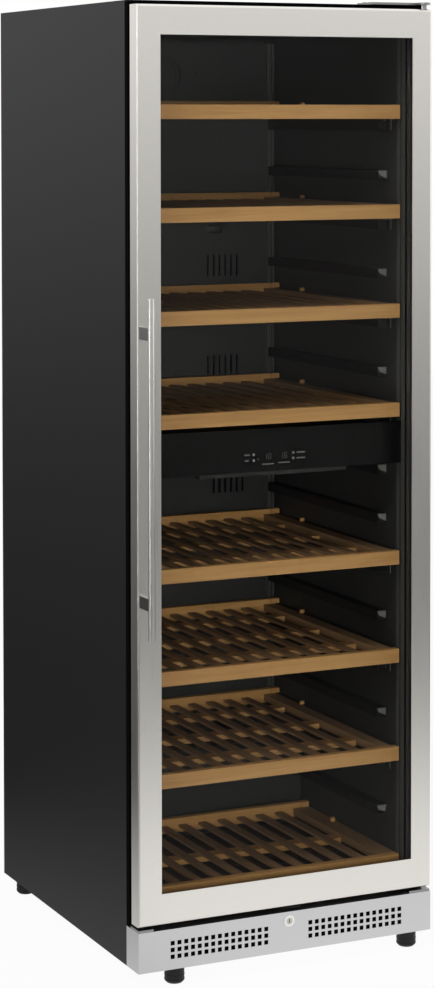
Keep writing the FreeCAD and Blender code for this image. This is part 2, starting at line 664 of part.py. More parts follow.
def oval(name, along, across, up):
    """A level oval hole: a block between two rods."""
    reach = "(oval_width - oval_height) / 2"
    ends = [rod(f"{name}_end_{index}", "y", "oval_height / 2", *along, (spot, up))
            for index, spot in enumerate(around(across, reach), start=1)]
    return fuse(name, ends + [box(name + "_middle", around(across, reach), along,
                                  around(up, "oval_height / 2"))])


def duct():
    """Folded duct covers on the rear wall, and the round air filter set in the upper one."""
    through = ("duct_front - overrun", "duct_front + duct_sheet + overrun")
    upper = slot_row("high", "slot_high", "slot_across", through)
    upper += slot_row("middle", "slot_middle", "slot_across", through)
    upper.append(rod("filter_hole", "y", "filter_radius - filter_lip + slide_gap", *through, FILTER))
    upper.append(rod("sensor_hole", "y", "sensor_radius", *through,
                     ("sensor_across", "ceiling - sensor_down")))
    upper.append(oval("oval_hole", through, "oval_across", "ceiling - oval_down"))
    for pip in (-1, 0, 1):
        upper.append(rod(f"pip_{pip + 2}", "y", "pip_radius", *through,
                         (f"pip_across + {pip} * pip_pitch", "ceiling - pip_down")))
    lower = slot_row("low", "slot_low", "low_slot_across", through)
    covers = []
    for zone, low, high, holes in (
            ("upper", "divider_bottom + divider_slab + duct_end_gap", "ceiling - duct_top_gap", upper),
            ("lower", "hump_top + duct_end_gap", "divider_bottom - duct_end_gap", lower)):
        outer = box(f"duct_block_{zone}", ("-duct_half", "duct_half"), ("duct_front", "inner_back"),
                    (low, high))
        room = box(f"duct_room_{zone}", ("duct_sheet - duct_half", "duct_half - duct_sheet"),
                   ("duct_front + duct_sheet", "inner_back + overrun"),
                   (f"{low} - overrun", f"{high} + overrun"))
        covers.append(drill(f"duct_cover_{zone}", cut(f"duct_fold_{zone}", outer, [room]), holes))
    node(group("duct_covers", covers), "duct_covers")

    grooves = []
    for row in (1, 2, 3):
        edge = f"filter_radius - {row} * filter_pitch"
        front = ("duct_front - filter_rim - overrun", "duct_front - filter_rim + filter_groove_depth")
        disc_piece = rod(f"groove_disc_{row}", "y", edge, *front, FILTER)
        core = rod(f"groove_core_{row}", "y", f"{edge} - filter_groove", *front, FILTER)
        grooves.append(cut(f"filter_groove_{row}", disc_piece, [core]))
    cap = fuse("filter_cap", [
        rod("filter_disc", "y", "filter_radius", "duct_front - filter_rim", "duct_front", FILTER),
        rod("filter_drum", "y", "filter_radius - filter_lip", "duct_front - filter_rim",
            "duct_front + filter_depth", FILTER),
    ])
    node(drill("carbon_filter", cap, grooves), "carbon_filter")
    node(group("evaporators", [plate_coil("upper", "plate_high_bottom", "plate_high_top", 9),
                               plate_coil("lower", "plate_low_bottom", "plate_low_top", 7)]), "evaporators")


def fans():
    """The two fans that stand off the duct covers and the one behind the condenser."""
    frames = []
    for name, size, front, spot in (
            ("upper", "fan_size", "fan_front", ("0", "slot_high")),
            ("lower", "fan_size", "fan_front", ("0", "slot_low")),
            ("condenser", "condenser_fan_size", "condenser_back", ("condenser_across", "condenser_middle"))):
        frames.append(fan_frame(f"fan_frame_{name}", size, front, spot, name != "condenser"))
        rotor("condenser_fan_rotor" if name == "condenser" else f"fan_rotor_{name}", size, front,
              spot)
    node(group("fan_frames", frames), "fan_frames")


def fan_frame(name, size, front, spot, stands_off):
    """Square fan frame with a motor disc and shaft held by four struts at the back."""
    across, up = spot
    half = f"{size} / 2"
    back = f"{front} + fan_depth"
    block = box(name + "_block", around(across, half), (front, back), around(up, half))
    throat = rod(name + "_throat", "y", f"{half} - fan_wall", f"{front} - overrun", f"{back} + overrun",
                 spot)
    reach = f"({half} - fan_wall / 2)"
    struts = (f"{back} - motor_plate", back)
    bosses = []
    if stands_off:
        corners = [(x, z) for x in around(across, f"({half} - fan_boss)")
                   for z in around(up, f"({half} - fan_boss)")]
        bosses = [rod(f"{name}_boss_{index}", "y", "fan_boss", f"{front} - fan_standoff",
                      f"{front} + fan_boss", corner) for index, corner in enumerate(corners, start=1)]
    return fuse(name, bosses + [
        cut(name + "_rim", block, [throat]),
        rod(name + "_motor", "y", "fan_hub", *struts, spot),
        rod(name + "_shaft", "y", "shaft_radius", f"{back} - motor_plate - fan_hub_depth / 2", back,
            spot),
        box(name + "_level", around(across, reach), struts, around(up, "strut / 2")),
        box(name + "_upright", around(across, "strut / 2"), struts, around(up, reach)),
    ])


def rotor(name, size, front, spot):
    """Fan rotor: a hub with a blind bore on the shaft and a ring of slanted blades."""
    body = new_body(name)
    start = f"{front} + fan_depth - motor_plate - hub_gap - fan_hub_depth"
    centre = [("0", "0")]
    disc(body, "Pad", name + "_hub", "XY_Plane", "0", "fan_hub_depth", centre, "fan_hub")
    disc(body, "Pocket", name + "_bore", "XY_Plane", "fan_hub_depth / 3", "fan_hub_depth", centre,
         "shaft_radius + run_gap")
    low = "(fan_hub_depth - blade_rise) / 2"
    tip = f"{size} / 2 - fan_wall - fan_tip_gap"
    blade = pad_outline(body, name + "_blade", "YZ_Plane", "fan_hub / 2", tip, [
        ("-blade_chord / 2 - blade_sheet", low), ("blade_sheet - blade_chord / 2", low),
        ("blade_chord / 2 + blade_sheet", f"{low} + blade_rise"),
        ("blade_chord / 2 - blade_sheet", f"{low} + blade_rise"),
    ])
    pattern = body.newObject("PartDesign::PolarPattern", name + "_blades")
    pattern.Originals = [blade]
    pattern.Axis = (origin_part(body, "Z_Axis"), [""])
    pattern.Angle = 360
    pattern.Occurrences = BLADES
    body.Tip = pattern
    body.Placement.Rotation = FreeCAD.Rotation(FreeCAD.Vector(1, 0, 0), -90)
    place(body, spot[0], start, spot[1])
    node(body, name)


def plate_coil(zone, bottom, top, runs):
    """Plate evaporator: a flat sheet with level tube runs raised on it and its wall pads."""
    sheet_front = "inner_back - plate_standoff - plate"
    solids = [box(f"plate_{zone}", ("-plate_half", "plate_half"),
                  (sheet_front, "inner_back - plate_standoff"), (bottom, top))]
    for run in range(runs):
        height = f"{bottom} + ({run} + 0.5) * ({top} - {bottom}) / {runs}"
        solids.append(rod(f"plate_{zone}_run_{run}", "x", "plate_tube", "plate_tube * 2 - plate_half",
                          "plate_half - plate_tube * 2", (sheet_front, height)))
    for corner, (side, height) in enumerate(((-1, bottom), (1, bottom), (-1, top), (1, top)), start=1):
        inward = f"{height} + {1 if corner < 3 else -1} * plate_tube * 3"
        solids.append(rod(f"plate_{zone}_pad_{corner}", "y", "plate_tube",
                          "inner_back - plate_standoff - plate / 2", "inner_back",
                          (f"{side} * (plate_half - plate_tube * 3)", inward)))
    return fuse(f"evaporator_{zone}", solids)


def divider():
    """Insulated divider with the control fascia, its board and the light bars."""
    body = new_body("zone_divider")
    bottom = "divider_bottom + divider_face_gap"
    rib_seat = f"{shelf_top(DIVIDER_LEVEL)} - guide_drop"
    pad_block(body, "divider_slab_pad", "XZ_Plane", "divider_front", "duct_front",
              ("-inner_half", "inner_half"), (bottom, "divider_bottom + divider_slab"))
    for side, across in zip(("left", "right"), mirrored("inner_half - divider_foot", "inner_half")):
        pad_block(body, f"divider_foot_{side}", "XZ_Plane", "rib_start", "duct_front", across,
                  (rib_seat, f"{bottom} + divider_face_gap"))
    low = "divider_bottom + pocket_bottom"
    pocket_block(body, "board_pocket", "XZ_Plane", "divider_front", "divider_front + pocket_depth",
                 ("-pocket_half", "pocket_half"), (low, f"{low} + pocket_height"))
    node(body, "zone_divider")

    window = (around("display_across", "display_half"),
              ("divider_bottom + display_low", "divider_bottom + display_low + display_tall"))
    through = ("shelf_front - overrun", "divider_front + overrun")
    holes = [box("window_hole", window[0], through, window[1])]
    half = "(key_size / 2 + slide_gap)"
    for number, (across, height) in enumerate(key_spots(), start=1):
        holes.append(box(f"key_hole_{number}", around(across, half), through, around(height, half)))
    plate = box("fascia_plate", ("guide_wall_gap - inner_half", "inner_half - guide_wall_gap"),
                ("shelf_front", "divider_front"), ("divider_bottom", "divider_top"))
    node(drill("control_fascia", plate, holes), "control_fascia")
    control_board(window)
    control_keys()

    bars = [("light_top", "ceiling - light_height", "ceiling"),
            ("light_low", f"{bottom} - light_height", bottom)]
    node(group("light_strips", [
        box(name, ("-light_half", "light_half"),
            ("shell_front + light_back", "shell_front + light_back + light_depth"), (low_z, high_z))
        for name, low_z, high_z in bars]), "light_strips")


def key_spots():
    """Centres of the four keys: one pair each side of the display."""
    return [(f"{side} * key_across - key_shift", f"key_row + {row} * key_pitch / 2")
            for side in (-1, 1) for row in (1, -1)]


def control_board(window):
    """Board on four standoffs, with the display block in the window and a switch behind each key."""
    low = "divider_bottom + pocket_bottom + (pocket_height - board_tall) / 2"
    solids = [
        box("board_sheet_piece", ("-board_half", "board_half"),
            ("board_front", "board_front + board_sheet"), (low, f"{low} + board_tall")),
        box("display_block", (f"{window[0][0]} + slide_gap", f"{window[0][1]} - slide_gap"),
            ("shelf_front + display_recess", "board_front"),
            (f"{window[1][0]} + slide_gap", f"{window[1][1]} - slide_gap")),
    ]
    for number, (across, height) in enumerate(key_spots(), start=1):
        solids.append(box(f"switch_{number}", around(across, "switch_size / 2"),
                          ("key_stem_end + key_travel + slide_gap", "board_front"),
                          around(height, "switch_size / 2")))
    for side in (-1, 1):
        solids.append(rod(f"standoff_{side + 2}", "y", "standoff_radius", "board_front + board_sheet",
                          "divider_front + pocket_depth", (f"{side} * standoff_across", "key_row")))
    node(fuse("control_board", solids), "control_board")


def control_keys():
    """Four small push keys. A flange behind the fascia keeps each one in."""
    for name, (across, height) in zip(("key_power", "key_light", "key_up", "key_down"), key_spots()):
        body = new_body(name)
        pad_block(body, name + "_cap", "XZ_Plane", "shelf_front - key_proud", "key_flange_front",
                  around(across, "key_size / 2"), around(height, "key_size / 2"))
        half = "(key_size / 2 + key_flange_edge)"
        pad_block(body, name + "_flange", "XZ_Plane", "key_flange_front", "key_stem_end",
                  around(across, half), around(height, half))
        node(body, name)


def plinth_and_lock():
    """Folded steel plinth with its air holes, and the lock that turns a cam up into the door."""
    body = new_body("plinth")
    face = ("door_front", "door_front + plinth_sheet")
    floor = ("foot_height", "foot_height + plinth_sheet")
    pad_block(body, "plinth_pad", "XZ_Plane", "door_front", "shell_front",
              ("-half_width", "half_width"), ("foot_height", "plinth_top"))
    pocket_block(body, "plinth_room", "XZ_Plane", face[1], "shell_front",
                 around("0", "(half_width - plinth_sheet)"), (floor[1], "plinth_top - plinth_sheet"))
    disc(body, "Pocket", "lock_opening", "XZ_Plane", *face, [LOCK], "lock_barrel_radius")
    pocket_block(body, "cam_opening", "XY_Plane", "plinth_top - plinth_sheet", "plinth_top", *cam_room())
    disc(body, "Pocket", "stud_openings", "XY_Plane", *floor, foot_spots()[:2], "stud_radius + sheet")
    for side, label in ((-1, "left"), (1, "right")):
        sketch, hole = extrude(body, "Pocket", f"air_hole_{label}", "XZ_Plane", *face)
        rectangle(sketch, around(f"{side} * hole_first", "hole_size / 2"),
                  around("plinth_top - hole_row_down", "hole_size / 2"))
        many = body.newObject("PartDesign::MultiTransform", f"air_holes_{label}")
        many.Originals = [hole]
        rows = []
        for kind, axis, count, pitch in (("across", "H_Axis", HOLE_COLUMNS, "hole_pitch_across"),
                                         ("up", "V_Axis", HOLE_ROWS, "hole_pitch_up")):
            row = body.newObject("PartDesign::LinearPattern", f"air_holes_{label}_{kind}")
            row.Direction = (sketch, [axis])
            row.Reversed = axis == "V_Axis" or side < 0
            row.setExpression("Length", formula(f"{count - 1} * {pitch}"))
            row.Occurrences = count
            rows.append(row)
        many.Transformations = rows
        body.Tip = many
    node(body, "plinth")
    lock_parts()


def cam_room():
    """Room across and along for the cam where it swings through a sheet."""
    return (("lock_across - cam_half - cam_gap", "lock_across + cam_tip + cam_gap"),
            ("cam_front - cam_gap", "cam_back + cam_gap"))


def lock_parts():
    """Lock case in the plinth, and the plug that turns in it with a flat cam at its back."""
    bore = rod("lock_bore", "y", "lock_plug_radius + run_gap", "door_front - lock_ring_depth - overrun",
               "door_front + lock_barrel_depth + overrun", LOCK)
    case = fuse("lock_case", [
        rod("lock_ring", "y", "lock_ring_radius", "door_front - lock_ring_depth", "door_front", LOCK),
        rod("lock_barrel", "y", "lock_barrel_radius", "door_front", "door_front + lock_barrel_depth",
            LOCK),
        rod("lock_nut", "y", "lock_ring_radius", "door_front + plinth_sheet",
            "door_front + plinth_sheet + lock_ring_depth", LOCK),
    ])
    node(cut("lock_housing", case, [bore]), "lock_housing")

    face = "door_front - lock_ring_depth + lock_plug_recess"
    plug = fuse("lock_plug", [
        rod("lock_plug_rod", "y", "lock_plug_radius", face, "cam_back", LOCK),
        box("cam", ("lock_across - cam_half", "lock_across + cam_tip"), ("cam_front", "cam_back"),
            around("lock_z", "cam_half")),
    ])
    slot = box("key_slot", around("lock_across", "key_slot_width / 2"),
               ("door_front - lock_ring_depth - overrun", f"{face} + key_slot_depth"),
               around("lock_z", "key_slot_height / 2"))
    node(cut("lock_cylinder", plug, [slot]), "lock_cylinder")


def machine_room():
    """Compressor on rubber mounts, condenser, tray, electronics, rear cover and gland."""
    body = new_body("compressor")
    revolve(body, "compressor_can", [
        ("0", "0"), ("compressor_radius - compressor_shoulder / 2", "0"),
        ("compressor_radius", "compressor_shoulder / 2"),
        ("compressor_radius", "compressor_height / 2"),
        ("compressor_radius + seam", "compressor_height / 2"),
        ("compressor_radius + seam", "compressor_height / 2 + seam_height"),
        ("compressor_radius", "compressor_height / 2 + seam_height"),
        ("compressor_radius", "compressor_height - compressor_shoulder"),
        ("compressor_radius - compressor_shoulder", "compressor_height"), ("0", "compressor_height"),
    ])
    pad_block(body, "compressor_base", "XY_Plane", "-base_plate", "0", ("-base_half", "base_half"),
              around("0", "compressor_radius"))
    corners = [(f"{side} * mount_across", f"{end} * mount_along") for side in (-1, 1) for end in (-1, 1)]
    disc(body, "Pocket", "compressor_holes", "XY_Plane", "-base_plate", "0", corners,
         "mount_hole + slide_gap")
    place(body, "compressor_across", "compressor_y", "compressor_bottom")
    node(body, "compressor")

    mounts = []
    for number, (across, along) in enumerate(corners, start=1):
        mount = new_body(f"mount_{number}")
        revolve(mount, f"mount_{number}_turn", [
            ("0", "0"), ("mount_radius", "0"), ("mount_radius", "mount_height"),
            ("mount_hole", "mount_height"), ("mount_hole", "mount_height + base_plate + slide_gap"),
            ("0", "mount_height + base_plate + slide_gap"),
        ])
        mounts.append(place(mount, f"compressor_across + {across}", f"compressor_y + {along}", "tray_top"))
    node(group("compressor_mounts", mounts), "compressor_mounts")
    condenser()

    tray_low = "compressor_bottom + compressor_height"
    sides = around("compressor_across", "tray_half")
    along = around("compressor_y", "(compressor_radius - tray_edge)")
    hollow = box("drip_tray_room", (f"{sides[0]} + tray_wall", f"{sides[1]} - tray_wall"),
                 (f"{along[0]} + tray_wall", f"{along[1]} - tray_wall"),
                 (f"{tray_low} + tray_wall", f"{tray_low} + tray_height + overrun"))
    block = box("drip_tray_block", sides, along, (tray_low, f"{tray_low} + tray_height"))
    node(cut("drip_tray", block, [hollow]), "drip_tray")

    sides = ("box_left_side", "box_left_side + box_width")
    along = ("machine_front + sheet", "machine_front + sheet + box_depth")
    up = ("tray_top", "tray_top + box_height")
    room = box("electronics_room", *[(f"{low} + box_wall", f"{high} - box_wall")
                                     for low, high in (sides, along, up)])
    node(cut("electronics_box", box("electronics_block", sides, along, up), [room]), "electronics_box")

    holes = []
    through = ("back_face - sheet - overrun", "back_face + overrun")
    for side in (-1, 1):
        for row in range(10):
            low = f"tray_top + louvre_low + {row} * louvre_pitch"
            holes.append(box(f"louvre_{side + 2}_{row}", around(f"{side} * louvre_gap", "louvre_width"),
                             through, (low, f"{low} + louvre_height")))
    spot = ("gland_across", "tray_top + gland_high")
    holes.append(rod("gland_hole", "y", "gland_radius + run_gap", *through, spot))
    cover = box("cover_sheet_piece", ("sheet - half_width", "half_width - sheet"),
                ("back_face - sheet", "back_face"), ("tray_bottom", "machine_top"))
    node(drill("service_cover", cover, holes), "service_cover")

    gland = fuse("gland_block", [
        rod("gland_barrel", "y", "gland_radius", "back_face - gland_length", "cabinet_back", spot),
        rod("gland_nut_disc", "y", "gland_nut_radius", "back_face - sheet - gland_nut",
            "back_face - sheet", spot),
        rod("gland_rim", "y", "gland_nut_radius", "back_face", "cabinet_back", spot),
    ])
    hole = rod("gland_bore_rod", "y", "gland_bore", "back_face - gland_length - overrun",
               "cabinet_back + overrun", spot)
    node(cut("cable_gland", gland, [hole]), "cable_gland")


def condenser():
    """Finned coil: upright fins on level tubes between two end plates that stand on the base."""
    along = ("condenser_front", "condenser_back")
    up = ("condenser_bottom", "condenser_bottom + condenser_height")
    solids = []
    fins = 19
    for fin in range(fins):
        middle = f"condenser_across + ({fin} - {(fins - 1) // 2}) * fin_pitch"
        solids.append(box(f"fin_{fin}", around(middle, "fin / 2"), along, up))
    ends = around("condenser_across", "condenser_half")
    for row in range(5):
        spot = ("(condenser_front + condenser_back) / 2", f"condenser_middle + {row - 2} * tube_pitch")
        solids.append(rod(f"condenser_tube_{row}", "x", "condenser_tube", *ends, spot))
    for index, end in enumerate(ends, start=1):
        solids.append(box(f"condenser_plate_{index}", around(end, "sheet / 2"), along,
                          ("tray_top", up[1])))
    node(fuse("condenser", solids), "condenser")


def pipes():
    """Copper circuit: discharge to the condenser, liquid line with its drier, suction line back."""
    can = "compressor_across + compressor_radius"
    coil_x = "condenser_across - condenser_half - sheet / 2"
    coil_y = "(condenser_front + condenser_back) / 2"
    coil_low = "condenser_middle - 2 * tube_pitch"
    coil_high = "condenser_middle + 2 * tube_pitch"
    drier = f"{coil_low} + drier_lift"
    (liquid, high), (suction, mid), (liquid, low), (suction, bottom) = pipe_spots()

    start = (can, "compressor_y", "compressor_bottom + compressor_height / 5")
    moves = [("x", 1, "discharge_across"), ("z", 1, coil_high), ("y", -1, coil_y), ("x", 1, coil_x)]
    solids = [fuse("discharge_pipe", pipe("discharge", "pipe_radius", start, moves))]

    to_plate = [("y", -1, "plate_middle"), ("x", -1, "plate_half")]
    moves = [("x", -1, "liquid_across"), ("z", 1, "machine_top - pipe_drop"), ("x", 1, liquid),
             ("y", 1, "riser_y"), ("z", 1, high)] + to_plate
    line = pipe("liquid", "pipe_radius", (coil_x, coil_y, coil_low), moves)
    line += branch("liquid", "pipe_radius", (liquid, "riser_y", low), to_plate)
    line.append(rod("drier", "z", "drier_radius", drier, f"{drier} + drier_length",
                    ("liquid_across", coil_y)))
    solids.append(fuse("liquid_pipe", line))

    low_end = "compressor_bottom + 2 * compressor_height / 5"
    moves = [("x", 1, suction), ("y", 1, "riser_y"), ("z", -1, "machine_top - suction_drop"),
             ("x", -1, "suction_across"), ("y", -1, "compressor_y"), ("z", -1, low_end), ("x", -1, can)]
    line = pipe("suction", "suction_radius", ("plate_half", "plate_middle", mid), moves)
    line += branch("suction", "suction_radius", (suction, "riser_y", bottom), to_plate)
    solids.append(fuse("suction_pipe", line))
    node(group("refrigerant_pipes", solids), "refrigerant_pipes")


def branch(name, radius, start, moves):
    """A branch off a riser, which starts inside a wider tee."""
    tee = rod(name + "_tee", "z", f"{radius} + tee_wall", *around(start[2], "tee_half"), start[:2])
    return [tee] + pipe(name + "_branch", radius, start, moves)


def hinges():
    """Top plate with its arm and pin, bottom plate with its pin, and the plate of the unused side."""
    arm = "hinge_arm_width / 2"
    top = ("cabinet_top", "cabinet_top + hinge_plate")
    front = "door_front + top_plate_front"
    arm_back = f"{front} + hinge_arm_width"
    span = ("half_width - top_plate_inner", "half_width - top_plate_outer")
    upper = fuse("hinge_top_blank", [
        box("hinge_top_plate", span, (front, "door_front + top_plate_back"), top),
        box("hinge_top_arm", (f"{span[1]} - overrun", "hinge_x"), (front, arm_back), top),
        box("hinge_top_reach", around("hinge_x", arm), ("hinge_y", arm_back), top),
        rod("hinge_top_eye", "z", arm, *top, HINGE),
        rod("hinge_top_pin", "z", "pin_radius", "door_top - bush_length + pin_end_gap", "cabinet_top",
            HINGE),
    ])
    low = ("plinth_top", "plinth_top + hinge_plate")
    plate_back = "frame_front - slide_gap"
    lower = fuse("hinge_bottom_blank", [
        box("hinge_bottom_plate", ("half_width - bottom_plate_width", "half_width - sheet"),
            ("door_front + bottom_plate_front", plate_back), low),
        rod("hinge_bottom_pin", "z", "pin_radius", "plinth_top + hinge_plate",
            "door_bottom + bush_length - pin_end_gap", HINGE),
        rod("hinge_bottom_collar", "z", "pin_radius + bush_wall", "plinth_top + hinge_plate",
            "door_bottom - slide_gap", HINGE),
    ])
    spare = box("hinge_spare", ("sheet - half_width", "spare_plate_width - half_width"),
                ("door_front + bottom_plate_front", plate_back), low)
    node(group("hinge_brackets", [upper, lower, spare]), "hinge_brackets")

    heads = []
    head_up = ("cabinet_top + hinge_plate", "cabinet_top + hinge_plate + screw_head")
    row_y = "door_front + top_plate_back - screw_edge"
    for index, across in enumerate((f"{span[0]} + screw_edge", f"({span[0]} + {span[1]}) / 2",
                                    f"{span[1]} - screw_edge")):
        heads.append(rod(f"top_screw_{index}", "z", "screw_head_radius", *head_up, (across, row_y)))
    head_low = ("plinth_top + hinge_plate", "plinth_top + hinge_plate + screw_head")
    for index, across in enumerate(("half_width - bottom_plate_width + screw_edge",
                                    "spare_plate_width - half_width - screw_edge")):
        heads.append(rod(f"bottom_screw_{index}", "z", "screw_head_radius", *head_low,
                         (across, "frame_front - screw_edge")))
    rows = (("cover", "tray_bottom + screw_edge"), ("cover_top", "machine_top - screw_edge"),
            ("back", "machine_top + screw_edge"), ("back_top", "cabinet_top - 2 * side_flange"))
    for label, height in rows:
        for side in (-1, 0, 1):
            heads.append(rod(f"{label}_screw_{side + 2}", "y", "screw_head_radius", "back_face",
                             "back_face + screw_head", (f"{side} * (half_width - 2 * screw_edge)", height)))
    node(group("screws", heads), "screws")


def door():
    """Steel skin over a plastic core, two panes on a spacer, gasket, hinge bushes and handle."""
    full_x = ("-half_width", "half_width")
    full_z = ("door_bottom", "door_top")
    window = (("window_left", "window_right"), ("window_bottom", "window_top"))
    bush = ("z", "pin_radius + bush_wall")
    holes = [rod("low_bush_hole", *bush, "door_bottom - overrun", "door_bottom + bush_length", HINGE),
             rod("high_bush_hole", *bush, "door_top - bush_length", "door_top + overrun", HINGE)]
    holes.append(box("cam_slot", *cam_room(), ("door_bottom - overrun", "door_bottom + cam_bite + cam_gap")))
    holes += [rod(f"stud_hole_{index}", "y", "handle_stud_radius", "door_front - overrun",
                  "door_front + handle_stud", ("bar_x", height))
              for index, height in enumerate(around("bar_middle", "post_spacing / 2"), start=1)]

    body = new_body("door_skin_body")
    pad = pad_block(body, "skin_pad", "XZ_Plane", "door_front", "door_back", full_x, full_z)
    doc.recompute()
    middle_depth = pad.Shape.BoundBox.Center.y
    edges = [f"Edge{index}" for index, edge in enumerate(pad.Shape.Edges, start=1)
             if all(vertex.Point.y < middle_depth for vertex in edge.Vertexes)]
    round_over = body.newObject("PartDesign::Fillet", "skin_fillet")
    round_over.Base = (pad, edges)
    round_over.setExpression("Radius", formula("skin_radius"))
    body.Tip = round_over
    pocket_block(body, "skin_room", "XZ_Plane", "door_front + skin_radius", "door_back",
                 around("0", "(half_width - skin)"), ("door_bottom + skin", "door_top - skin"))
    pocket_block(body, "skin_front_room", "XZ_Plane", "door_front + skin", "door_front + skin_radius",
                 around("0", "(half_width - skin_radius)"),
                 ("door_bottom + skin_radius", "door_top - skin_radius"))
    pocket_block(body, "skin_window", "XZ_Plane", "door_front", "door_front + skin", *window)
    node(drill("door_frame", body, holes), "door_frame")
    door_core(window, holes)
    door_glass()

    low = "door_bottom + gasket_bottom_inset"
    high = "door_top - gasket_end_inset"
    node(ring("door_gasket",
              (around("0", "(half_width - gasket_inset)"), (low, high)),
              (around("0", "(half_width - gasket_inset - gasket_width)"),
               (f"{low} + gasket_width", f"{high} - gasket_width")),
              ("door_back", "frame_front - slide_gap")), "door_gasket")

    bushes = []
    for name, low, high in (("low", "door_bottom", "door_bottom + bush_length"),
                            ("high", "door_top - bush_length", "door_top")):
        tube = rod(f"bush_{name}_tube", "z", "pin_radius + bush_wall", low, high, HINGE)
        hole = rod(f"bush_{name}_bore", "z", "pin_radius + run_gap", f"{low} - overrun",
                   f"{high} + overrun", HINGE)
        bushes.append(cut(f"bush_{name}", tube, [hole]))
    node(group("hinge_bushes", bushes), "hinge_bushes")
    handle()


def door_core(window, holes):
    """Plastic core that fills the skin and grips the panes; a rear lip covers the inner pane's edge."""
    fit = "glass_fit"
    pane = ((f"glass_left - {fit}", f"glass_right + {fit}"),
            (f"glass_bottom - {fit}", f"glass_top + {fit}"))
    lip = (("window_left - core_lip", "window_right + core_lip"),
           ("window_bottom - core_lip", "window_top + core_lip"))
    block = fuse("core_block", [
        box("core_back", ("skin - half_width", "half_width - skin"),
            ("door_front + skin_radius", "door_back"), ("door_bottom + skin", "door_top - skin")),
        box("core_front", ("skin_radius - half_width", "half_width - skin_radius"),
            ("door_front + skin", "door_front + skin_radius"),
            ("door_bottom + skin_radius", "door_top - skin_radius")),
    ])
    glass_room = box("core_glass_room", pane[0], ("door_front", "inner_glass_back + glass_fit"), pane[1])
    opening = box("core_opening", lip[0], ("door_front", "door_back + overrun"), lip[1])
    node(drill("door_core", cut("core_ring", block, [glass_room, opening]), holes), "door_core")


def door_glass():
    """Two panes and the spacer that holds them apart."""
    pane = (("glass_left", "glass_right"), ("glass_bottom", "glass_top"))
    node(box("glass_outer", pane[0], ("outer_glass_front", "spacer_front"), pane[1]), "glass_outer")
    node(box("glass_inner", pane[0], ("inner_glass_front", "inner_glass_back"), pane[1]), "glass_inner")
    outer = [(f"{low} + spacer_edge", f"{high} - spacer_edge") for low, high in pane]
    inner = [(f"{low} + spacer_width", f"{high} - spacer_width") for low, high in outer]
    node(ring("glass_spacer", outer, inner, ("spacer_front", "inner_glass_front")), "glass_spacer")


def handle():
    """Round bar on two square posts, each with a stud into the door."""
    posts = []
    for index, height in enumerate(around("bar_middle", "post_spacing / 2"), start=1):
        block = box(f"post_block_{index}", around("bar_x", "post_width / 2"), ("bar_y", "door_front"),
                    around(height, "post_height / 2"))
        saddle = rod(f"post_saddle_{index}", "z", "bar_radius", *around(height, "post_height"),
                     ("bar_x", "bar_y"))
        stud = rod(f"post_stud_{index}", "y", "handle_stud_radius", "door_front - bar_radius",
                   "door_front + handle_stud", ("bar_x", height))
        posts.append(fuse(f"post_{index}", [cut(f"post_seat_{index}", block, [saddle]), stud]))
    node(group("handle_posts", posts), "handle_posts")
    node(rod("handle_bar", "z", "bar_radius", *around("bar_middle", "bar_length / 2"),
             ("bar_x", "bar_y")), "handle_bar")


def feet():
    """Levelling feet: a pad with a rounded lower edge on a threaded stud."""
    names = ("front_left", "front_right", "rear_left", "rear_right")
    for name, (across, along) in zip(names, foot_spots()):
        body = new_body("foot_" + name)
        revolve(body, f"foot_{name}_turn", [
            ("0", "0"), ("foot_radius - foot_edge", "0"), ("foot_radius", "foot_edge"),
            ("foot_radius", "foot_height - slide_gap"), ("stud_radius", "foot_height - slide_gap"),
            ("stud_radius", "foot_height + stud_length"), ("0", "foot_height + stud_length"),
        ])
        place(body, across, along, "0")
        node(body, "foot_" + name)


def check_and_write():
    """Refuses a failed object or an unsound shape, then writes one file for each sub-part."""
    doc.recompute()
    for item in doc.Objects:
        faults = [state for state in item.State if state in ("Invalid", "Error")]
        if faults:
            raise ValueError(f"{item.Label}: {faults}")
    for piece in NODES:
        if piece.Shape.isNull() or not piece.Shape.isValid() or not piece.Shape.Solids:
            raise ValueError(f"{piece.Label}: no sound solid")
    os.makedirs("parts", exist_ok=True)
    for piece in NODES:
        piece.Shape.exportStep(f"parts/{piece.Label}.step")
        print(piece.Label, len(piece.Shape.Solids), round(piece.Shape.Volume / 1000, 1))
    print(len(NODES), "sub-parts")


write_sizes()
cabinet_shell()
liner_and_frame()
ribs_and_guides()
shelves()
duct()
fans()
divider()
plinth_and_lock()
machine_room()
pipes()
hinges()
door()
feet()
check_and_write()
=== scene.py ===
"""Refrigerated wine cabinet: finishes, small parts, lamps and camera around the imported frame.

Metres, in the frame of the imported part: X to the right, Y to the back, Z up, floor at Z = 0. Trim is placed
in millimetres, its depth counted back from the door's face.
"""
import math

import bpy
import bmesh
from mathutils import Matrix, Vector


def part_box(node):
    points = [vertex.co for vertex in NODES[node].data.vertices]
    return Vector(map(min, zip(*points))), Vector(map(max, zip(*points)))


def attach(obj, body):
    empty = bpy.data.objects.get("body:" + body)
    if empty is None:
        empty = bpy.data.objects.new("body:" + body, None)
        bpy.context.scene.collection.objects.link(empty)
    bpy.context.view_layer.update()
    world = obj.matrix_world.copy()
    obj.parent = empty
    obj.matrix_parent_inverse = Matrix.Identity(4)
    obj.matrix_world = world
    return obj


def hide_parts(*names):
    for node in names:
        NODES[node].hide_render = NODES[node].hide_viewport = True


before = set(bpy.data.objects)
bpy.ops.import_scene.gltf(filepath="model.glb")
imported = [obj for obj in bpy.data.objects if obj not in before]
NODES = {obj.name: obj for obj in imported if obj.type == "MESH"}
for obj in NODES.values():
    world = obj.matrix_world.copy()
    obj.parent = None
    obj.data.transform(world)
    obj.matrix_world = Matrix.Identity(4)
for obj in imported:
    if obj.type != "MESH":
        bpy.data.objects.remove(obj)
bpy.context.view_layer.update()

SHELVES = [f"shelf_{number}" for number in range(1, 9)]
